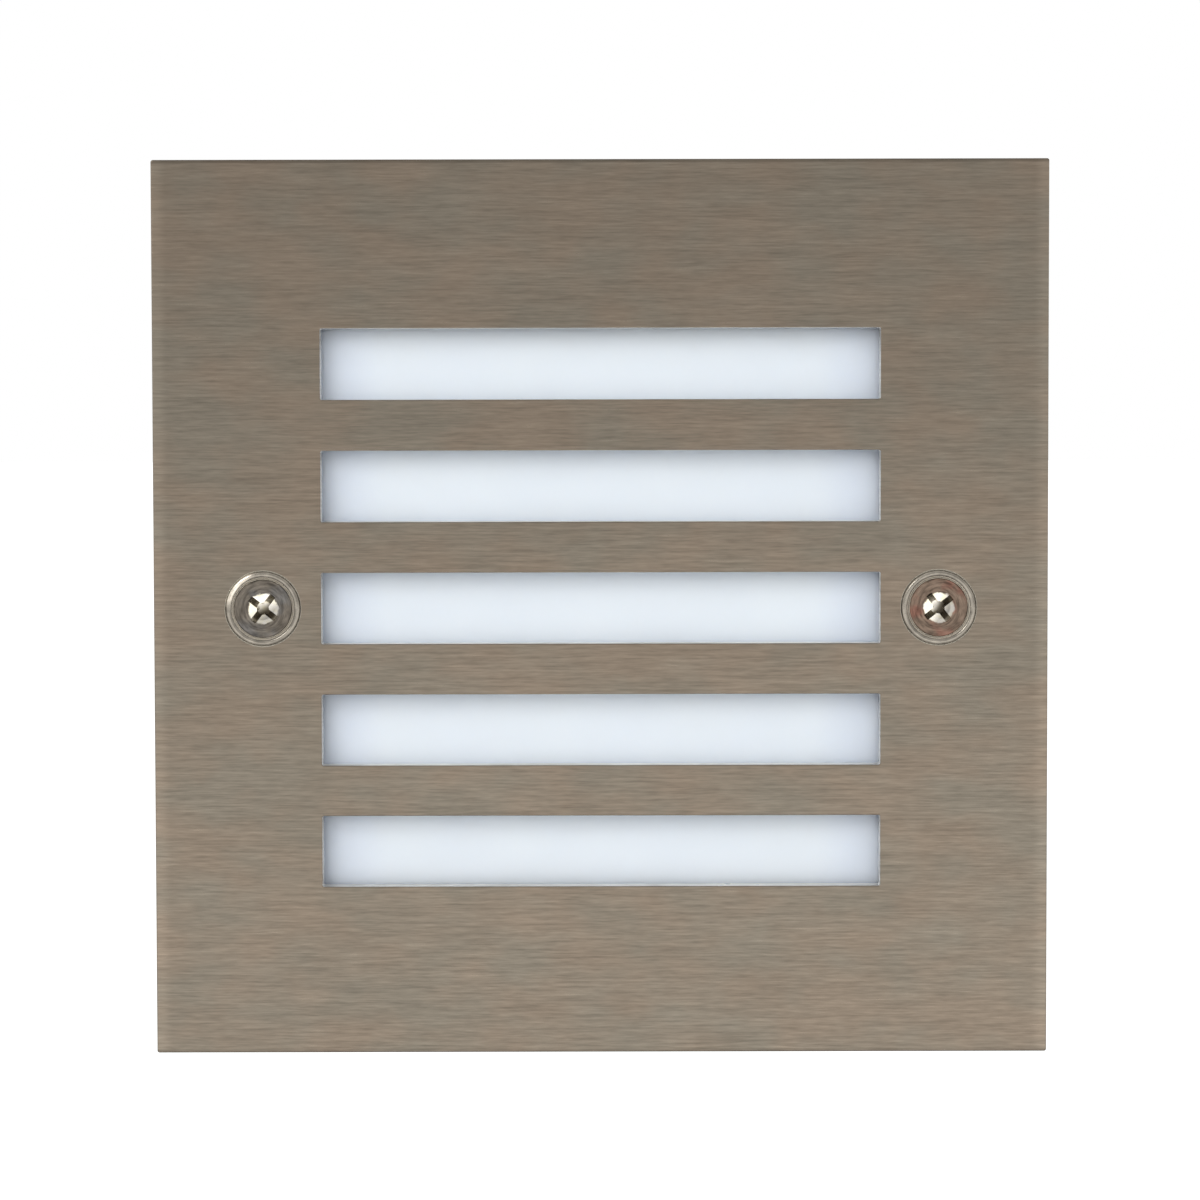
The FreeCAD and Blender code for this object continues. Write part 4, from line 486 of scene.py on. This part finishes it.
# =========================================================== other materials
def zinc_steel():
    """Bright zinc plate, faintly blue and yellow."""
    g = Graph("zinc_steel")
    tint = g.noise(140, detail=3.0, rough=0.6)
    fine = g.noise(2400)
    colour = g.blend(g.spread(tint, 0.35, 0.65), (0.50, 0.53, 0.58), (0.60, 0.58, 0.52))
    normal, _ = g.rounded(0.15 * MM)
    return g.surface(
        Base_Color=g.shade(colour, g.vary(fine, 0.95, 1.05)),
        Metallic=1.0,
        Roughness=g.vary(tint, 0.24, 0.36),
        Normal=g.bump(fine, 0.008 * MM, normal),
    )


def rubber(name, colour, pores):
    """Rubber: a dusty black with fine pores, so many a metre."""
    g = Graph(name)
    fine = g.noise(pores * 1.7)
    pits = g.spread(g.cells(pores), 0.05, 0.4, 0.0, 1.0, True)
    dust = g.noise(90, detail=3.0)
    return g.surface(
        Base_Color=g.shade(colour, g.vary(dust, 0.8, 1.35)),
        Roughness=g.vary(fine, 0.78, 0.92),
        Normal=g.bump(g.math("ADD", pits, g.product(fine, 0.4)), 0.03 * MM),
    )


def moulded(name, colour, rough, grain, relief, drift=0.05, speck=0.1, edge=0.2, rub=0.03):
    """Moulded plastic: eroded grain, flow marks, fine scratches, and edges rubbed pale.

    grain is in cells a metre, relief the grain's depth and edge the rounding of edges
    in mm.  drift and speck say how far the flow marks and the grain change the tone,
    and rub how much is added to the colour of a worn edge.
    """
    g = Graph(name)
    fine = g.noise(grain, detail=3.0, rough=0.65)
    flow = g.noise((30, 60, 45), detail=3.0, warp=0.6)
    scuff = g.noise(420, detail=4.0, rough=0.7)
    scratch = g.spread(g.noise((40, 900, 1300), warp=0.5), 0.66, 0.72, 1.0, 1.12)
    normal, edges = g.rounded(edge * MM)
    worn = g.product(edges, g.spread(scuff, 0.4, 0.6, 0.1, 0.6))
    clouds = g.vary(flow, 1.0 - drift, 1.0 + drift)
    tone = g.product(clouds, g.vary(fine, 1.0 - speck, 1.0 + speck), scratch)
    pale = tuple(channel * 1.6 + rub for channel in colour)
    return g.surface(
        Base_Color=g.blend(worn, g.shade(colour, tone), pale),
        Roughness=g.math("ADD", rough, g.vary(scuff, -0.05, 0.06)),
        IOR=1.5,
        Normal=g.bump(fine, relief * MM, normal),
    )


def aluminium_sheet():
    """Mill-finish sheet with rolling lines along X."""
    g = Graph("aluminium_sheet")
    lines = g.noise((22, 22, 1900), detail=3.0, rough=0.6)
    cloud = g.noise(60)
    tone = g.product(g.vary(lines, 0.93, 1.06), g.vary(cloud, 0.95, 1.04))
    return g.surface(
        Base_Color=g.shade((0.66, 0.67, 0.68), tone),
        Metallic=1.0,
        Roughness=g.vary(lines, 0.34, 0.44),
        Anisotropic=0.3,
        Tangent=g.across_level_grain(),
        Normal=g.bump(lines, 0.006 * MM),
    )


def machined_brass():
    """Turned brass with a light tarnish."""
    g = Graph("brass")
    tarnish = g.noise(300, detail=3.0, rough=0.6)
    fine = g.noise((2600, 5200, 2600), detail=1.0)
    return g.surface(
        Base_Color=g.blend(g.spread(tarnish, 0.4, 0.7), (0.66, 0.46, 0.17), (0.50, 0.35, 0.14)),
        Metallic=1.0,
        Roughness=g.vary(tarnish, 0.22, 0.36),
        Normal=g.bump(fine, 0.006 * MM),
    )


def circuit_board(name, mask, track, pitch):
    """A board with a glossy mask, and copper tracks that show faintly under it.

    pitch is how many tracks there are to a metre.
    """
    g = Graph(name)
    grid = g.cells(pitch, feature="DISTANCE_TO_EDGE", spread=0.0)
    lines = g.spread(grid, 0.05, 0.09, 1.0, 0.0, True)
    weave = g.noise(2600, detail=1.0)
    return g.surface(
        Base_Color=g.shade(g.blend(lines, mask, track), g.vary(weave, 0.97, 1.03)),
        Roughness=g.vary(weave, 0.26, 0.34),
        Normal=g.bump(g.math("ADD", lines, g.product(weave, 0.1)), 0.03 * MM),
    )


def white_mask(name, colour):
    """A white solder mask over a glass weave, slightly speckled."""
    g = Graph(name)
    weave = g.noise(2600, detail=1.0)
    speck = g.spread(g.noise(3600, detail=1.0), 0.72, 0.78, 1.0, 0.86)
    return g.surface(
        Base_Color=g.shade(colour, g.product(g.vary(weave, 0.97, 1.02), speck)),
        Roughness=g.vary(weave, 0.30, 0.40),
        Normal=g.bump(weave, 0.004 * MM),
    )


def solder():
    """Tin solder: bright, a little wrinkled, with a trace of flux."""
    g = Graph("solder")
    wrinkle = g.noise(1400, detail=3.0)
    flux = g.spread(g.noise(700), 0.55, 0.7)
    return g.surface(
        Base_Color=g.blend(flux, (0.62, 0.62, 0.61), (0.42, 0.36, 0.24)),
        Metallic=1.0,
        Roughness=g.vary(wrinkle, 0.18, 0.34),
        Normal=g.bump(wrinkle, 0.02 * MM),
    )


def phosphor():
    """The yellow gel over an LED's chip."""
    g = Graph("led_phosphor")
    grains = g.noise(9000)
    share = g.spread(grains, 0.35, 0.65)
    return g.surface(
        Base_Color=g.blend(share, (0.86, 0.60, 0.07), (0.80, 0.66, 0.12)),
        Roughness=0.28,
        Subsurface_Weight=0.2,
        Subsurface_Radius=(1.0, 0.7, 0.3),
        Subsurface_Scale=0.2 * MM,
        Normal=g.bump(grains, 0.004 * MM),
    )


def tape():
    """Yellow film wound round a transformer, its turns showing as fine edges."""
    g = Graph("winding_tape")
    turns = g.noise((60, 60, 1500), detail=1.0)
    return g.surface(
        Base_Color=g.shade((0.75, 0.50, 0.05), g.vary(turns, 0.88, 1.08)),
        Roughness=g.vary(turns, 0.30, 0.42),
        Coat_Weight=0.3,
        Normal=g.bump(turns, 0.03 * MM),
    )


def insulation(name, colour):
    """A lead's PVC skin: satin, with fine drawing lines along it."""
    g = Graph(name)
    wander = g.noise(700, detail=3.0)
    return g.surface(
        Base_Color=g.shade(colour, g.vary(wander, 0.9, 1.12)),
        Roughness=g.vary(wander, 0.36, 0.48),
        IOR=1.53,
        Normal=g.bump(wander, 0.008 * MM),
    )


def make_materials():
    """One material for each slot of the record, apart from the face screws'."""
    made = {
        "brushed_stainless": brushed_stainless(),
        "polished_stainless": cup_steel(),
        "zinc_steel": zinc_steel(),
        "opal_plastic": opal_plastic(),
        "black_rubber": rubber("black_rubber", (0.022, 0.022, 0.024), 2600),
        "box_plastic": moulded(
            "box_plastic", (0.085, 0.087, 0.090), 0.5, grain=1300, relief=0.035, drift=0.07
        ),
        "white_plastic": moulded(
            "white_plastic", (0.80, 0.80, 0.78), 0.3,
            grain=2600, relief=0.003, drift=0.01, speck=0.015, rub=0,
        ),
        "white_board": white_mask("white_board", (0.80, 0.81, 0.80)),
        "green_board": circuit_board(
            "green_board", mask=(0.02, 0.15, 0.05), track=(0.03, 0.22, 0.08), pitch=300
        ),
        "aluminium_sheet": aluminium_sheet(),
        "brass": machined_brass(),
        "driver_plastic": moulded(
            "driver_plastic", (0.66, 0.66, 0.64), 0.45,
            grain=2600, relief=0.01, drift=0.02, speck=0.03, rub=0,
        ),
        "led_white": moulded(
            "led_white", (0.83, 0.83, 0.81), 0.35,
            grain=5000, relief=0.003, drift=0.01, speck=0.02, edge=0.05, rub=0,
        ),
        "led_phosphor": phosphor(),
        "winding_tape": tape(),
        "capacitor_sleeve": moulded(
            "capacitor_sleeve", (0.03, 0.03, 0.05), 0.25, grain=900, relief=0.004
        ),
        "gland_nylon": moulded(
            "gland_nylon", (0.024, 0.024, 0.026), 0.42, grain=1800, relief=0.015
        ),
    }
    for colour, value in LEAD_COLOURS.items():
        made["lead_" + colour] = insulation("lead_" + colour, value)
    return made


def dress(frame, made):
    """Gives every CAD node the material of its slot, and each face screw its own."""
    grey = {"tint": (0.104, 0.090, 0.074), "blush": (0.100, 0.094, 0.087)}
    brown = {"tint": (0.133, 0.097, 0.073), "blush": (0.160, 0.083, 0.062)}
    # the side numbers below place each screw's painted highlight in its recess
    own = {
        "face_screw_left": face_screw_steel("left", -FACE_SCREW_X, highlight_side=120, **grey),
        "face_screw_right": face_screw_steel("right", FACE_SCREW_X, highlight_side=150, **brown),
    }
    slots = {part["node"]: part["material_slot"] for part in frame["record"]["subparts"]}
    for name, node in frame["nodes"].items():
        node.data.materials.clear()
        node.data.materials.append(own.get(name) or made[slots[name]])


# =============================================================== fine detail
def outline(half_width, half_height, radius, steps=6):
    """A rectangle with rounded corners, as points (x, z) in order round it."""
    points = []
    for corner in range(4):
        side = 1 if corner in (0, 3) else -1
        level = 1 if corner in (0, 1) else -1
        for step in range(steps + 1):
            angle = (corner + step / steps) * math.pi / 2
            x = side * (half_width - radius) + radius * math.cos(angle)
            z = level * (half_height - radius) + radius * math.sin(angle)
            points.append((x, z))
    return points


def circle(radius, steps=32):
    """A circle, as points (x, z) in order round it."""
    angles = [2 * math.pi * step / steps for step in range(steps)]
    return [(radius * math.cos(angle), radius * math.sin(angle)) for angle in angles]


def join_rows(bm, rows, closed=False):
    """Joins rows of vertices by faces; in closed rows the last vertex meets the first."""
    for low, high in zip(rows, rows[1:]):
        for i in range(len(low) if closed else len(low) - 1):
            j = (i + 1) % len(low)
            bm.faces.new((low[i], low[j], high[j], high[i]))


def add_rings(bm, rings, capped=False):
    """Skins closed rings, each a list of points (x, y, z); capped fills the last."""
    loops = [[bm.verts.new(point) for point in ring] for ring in rings]
    join_rows(bm, loops, closed=True)
    if capped:
        bm.faces.new(loops[-1])


def add_pad(bm, x, z, half_width, half_height):
    """A low raised area with sloping sides on the LED board, with its middle at x and z."""
    rise, corner = 0.05 * MM, 0.4 * MM
    rings = []
    for inset, y in ((0.0, LED_BOARD_FRONT), (rise, LED_BOARD_FRONT - rise)):
        ring = outline(half_width - inset, half_height - inset, corner - inset)
        rings.append([(x + across, y, z + up) for across, up in ring])
    add_rings(bm, rings, capped=True)


def led_places():
    """The LEDs' columns and rows, each as places across the board's middle."""
    return [(number - (LED_GRID - 1) / 2) * LED_PITCH for number in range(LED_GRID)]


def board_tracks(bm):
    """Copper under the white mask: rows of LEDs in series, between two bus bars.

    All sizes across and up are half sizes, and gap parts one area from the next.
    """
    pad_across, pad_up = 0.9 * MM, 1.7 * MM
    bus_across, track_up, gap = 1.1 * MM, 0.8 * MM, 0.2 * MM
    places = led_places()
    pad = LED_HALF_LENGTH + pad_across
    bus = places[-1] + BUS_FROM_LED
    for z in places:
        for x in places:
            for end in (-1, 1):
                add_pad(bm, x + end * pad, z, pad_across, pad_up)
        for left, right in zip(places, places[1:]):
            half = (right - left) / 2 - pad - pad_across - gap
            add_pad(bm, (left + right) / 2, z, half, track_up)
    inner, outer = CONNECTOR_TRACK_END, bus - bus_across - gap
    for side in (-1, 1):
        add_pad(bm, side * bus, 0.0, bus_across, places[-1] + pad_up)
        add_pad(bm, side * (inner + outer) / 2, CONNECTOR_Z, (outer - inner) / 2, track_up)


def solder_fillets(bm):
    """A concave fillet of solder at both ends of every LED."""
    for x in led_places():
        for z in led_places():
            for end in (-1, 1):
                add_fillet(bm, x, z, end)


def add_fillet(bm, x, z, end, steps=6):
    """Solder from high on an LED's end (1 for the right, -1 for the left) to the board."""
    reach, height, half = 0.65 * MM, 0.5 * MM, 1.1 * MM
    rows = []
    for number in range(steps + 1):
        across = 2 * number / steps - 1
        swell = math.sqrt(1.0 - 0.98 * across**4)  # full in the middle, small at both sides
        row = []
        for step in range(steps + 1):
            out = step / steps
            away = x + end * (LED_HALF_LENGTH + reach * out * swell)
            front = LED_BOARD_FRONT - height * (1 - out) ** 2 * swell
            row.append(bm.verts.new((away, front, z + across * half)))
        rows.append(row)
    join_rows(bm, rows)


def flash_line(bm):
    """The fine ridge that the mould's two halves leave round the box's flange."""
    proud = half = 0.07 * MM
    rings = []
    for grow, y in ((0.0, -half), (proud, 0.0), (0.0, half)):
        size = FLANGE_HALF + grow
        ring = outline(size, size, FLANGE_CORNER + grow)
        rings.append([(x, FLANGE_MIDDLE + y, z) for x, z in ring])
    add_rings(bm, rings)


def gate_scar(bm):
    """Where the plastic entered the mould: a shallow dish with the sprue's stub in it."""
    dish = ((3.4, 0.0), (3.2, 0.14), (2.7, 0.16), (2.4, 0.03), (1.1, 0.02))
    stub = ((0.95, 0.3), (0.8, 0.42), (0.45, 0.36), (0.15, 0.44))
    rings = []
    for radius, height in dish + stub:  # in mm
        ring = []
        for number, (x, z) in enumerate(circle(radius * MM)):
            torn = 0.05 * math.sin(3.1 * number) if (radius, height) in stub else 0.0
            ring.append((x, BOX_REAR + (height + torn) * MM, z))
        rings.append(ring)
    add_rings(bm, rings, capped=True)


def add_piece(name, shape, body, material):
    """Makes a smooth mesh in the row frame that moves with a body of the model."""
    bm = bmesh.new()
    shape(bm)
    bmesh.ops.recalc_face_normals(bm, faces=bm.faces)
    mesh = bpy.data.meshes.new(name)
    bm.to_mesh(mesh)
    bm.free()
    mesh.shade_smooth()
    mesh.set_sharp_from_angle(angle=math.radians(SHARP_ANGLE))
    mesh.materials.append(material)
    item = bpy.data.objects.new(name, mesh)
    bpy.context.scene.collection.objects.link(item)
    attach(item, body)


def add_fine_detail(made):
    """The four pieces that are too fine for the CAD model."""
    tracks = white_mask("white_mask_on_copper", (0.73, 0.725, 0.70))
    add_piece("board_tracks", board_tracks, "housing", tracks)
    add_piece("led_solder", solder_fillets, "housing", solder())
    add_piece("flash_line", flash_line, "housing", made["box_plastic"])
    add_piece("gate_scar", gate_scar, "housing", made["box_plastic"])


# ============================================================ stage and lamps
def light_path(graph):
    """1 for rays from the camera, from gloss and through glass."""
    path = graph.add("ShaderNodeLightPath").outputs
    seen = graph.math("MAXIMUM", path["Is Camera Ray"], path["Is Glossy Ray"])
    return graph.math("MAXIMUM", seen, path["Is Transmission Ray"])


class WorldGraph(Graph):
    """The same short ways, for the world's nodes."""

    def __init__(self, name):
        world = bpy.data.worlds.new(name)
        world.use_nodes = True
        bpy.context.scene.world = world
        self.tree = world.node_tree
        self.tree.nodes.clear()

    def end(self, shader):
        """Makes a shader the world's."""
        self.add("ShaderNodeOutputWorld", {"Surface": shader})


def make_world():
    """White where it is seen or mirrored, and for matt surfaces a soft dome."""
    g = WorldGraph("studio")
    direction = g.add("ShaderNodeTexCoord").outputs["Generated"]
    up = g.add("ShaderNodeSeparateXYZ", {"Vector": direction}).outputs["Z"]
    dome = g.spread(up, -0.5, 0.5, *AMBIENT, smooth=True)
    level = g.spread(light_path(g), 0.0, 1.0, dome, 1.0)
    colour = g.shade(BACKGROUND, level)
    g.end(g.add("ShaderNodeBackground", {"Color": colour}).outputs[0])


def make_floor(lowest):
    """A pale floor, well below the light, that keeps its shadow and fades to the white."""
    g = Graph("floor")
    pale = g.shade(FLOOR_COLOUR, g.vary(g.noise(40, detail=3.0), 0.99, 1.01))
    diffuse = g.add("ShaderNodeBsdfDiffuse", {"Color": pale}).outputs[0]
    out = g.spread(g.radius(0.0, 0.0, (1, 1, 0)), *FLOOR_FADE, 0.0, FLOOR_GLOW, True)
    glow = g.add("ShaderNodeEmission", {"Strength": g.product(light_path(g), out)})
    g.end(g.add("ShaderNodeAddShader", {0: diffuse, 1: glow.outputs[0]}).outputs[0])
    mesh = bpy.data.meshes.new("floor")
    half = FLOOR_SIZE / 2
    corners = [(-half, -half), (half, -half), (half, half), (-half, half)]
    mesh.from_pydata([(x, y, 0) for x, y in corners], [], [(0, 1, 2, 3)])
    mesh.materials.append(g.material)
    floor = bpy.data.objects.new("floor", mesh)
    floor.location.z = lowest - FLOOR_DROP
    bpy.context.scene.collection.objects.link(floor)


def lamp(name, place, size, watts, target=(0, 0, 0), gloss=True, fill=True):
    """A soft rectangular lamp, turned to a target; gloss and fill say what it lights."""
    data = bpy.data.lights.new(name, "AREA")
    data.shape = "RECTANGLE"
    data.size, data.size_y = size
    data.energy = watts
    item = bpy.data.objects.new(name, data)
    item.location = place
    heading = Vector(target) - Vector(place)
    item.rotation_euler = heading.to_track_quat("-Z", "Y").to_euler()
    item.visible_camera = False
    item.visible_glossy = gloss
    item.visible_diffuse = fill
    bpy.context.scene.collection.objects.link(item)


def make_lamps():
    """A key from the upper left, two lamps behind, and two that only gloss shows.

    Of these last, the low panel brightens the plate towards its foot, and the spark
    puts highlights on the screws.
    """
    lamp("key", (-0.3, -0.9, 0.38), (0.6, 0.5), 4.2, gloss=False)
    lamp("low_panel", (0.0, -0.35, -0.25), (1.2, 0.5), 1.4, target=(0, 0, -0.25), fill=False)
    lamp("spark", (-0.55, -0.7, 0.55), (0.3, 0.3), 2.0, fill=False)
    lamp("rear_left", (-0.8, 0.8, 0.5), (0.6, 0.6), 1.8)
    lamp("rear_right", (0.8, 0.7, 0.35), (0.6, 0.6), 1.3)


def make_camera():
    """The photograph's view: from the front, and from a little above."""
    data = bpy.data.cameras.new("camera")
    data.sensor_width = SENSOR
    data.lens = FOCAL_PIXELS / PHOTO_PIXELS * SENSOR
    data.clip_start, data.clip_end = CAMERA_CLIP
    camera = bpy.data.objects.new("camera", data)
    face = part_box("face_plate")[0].y
    angle = math.radians(CAMERA_ELEVATION)
    back = Vector((0, -math.cos(angle), math.sin(angle)))
    camera.location = Vector((AIM[0], face, 0)) + back * CAMERA_DISTANCE
    heading = Vector((AIM[0], face, AIM[1])) - camera.location
    roll = Matrix.Rotation(math.radians(CAMERA_ROLL), 3, "Z")
    camera.rotation_euler = (heading.to_track_quat("-Z", "Y").to_matrix() @ roll).to_euler()
    bpy.context.scene.collection.objects.link(camera)
    bpy.context.scene.camera = camera


def main():
    """Loads the frame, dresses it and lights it."""
    for item in list(bpy.data.objects):
        bpy.data.objects.remove(item)
    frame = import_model()
    cad_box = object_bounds()
    bpy.context.scene.view_settings.view_transform = "Standard"
    make_camera()
    made = make_materials()
    dress(frame, made)
    add_fine_detail(made)
    make_world()
    make_floor(cad_box[0].z)
    make_lamps()
    bpy.context.view_layer.update()


main()
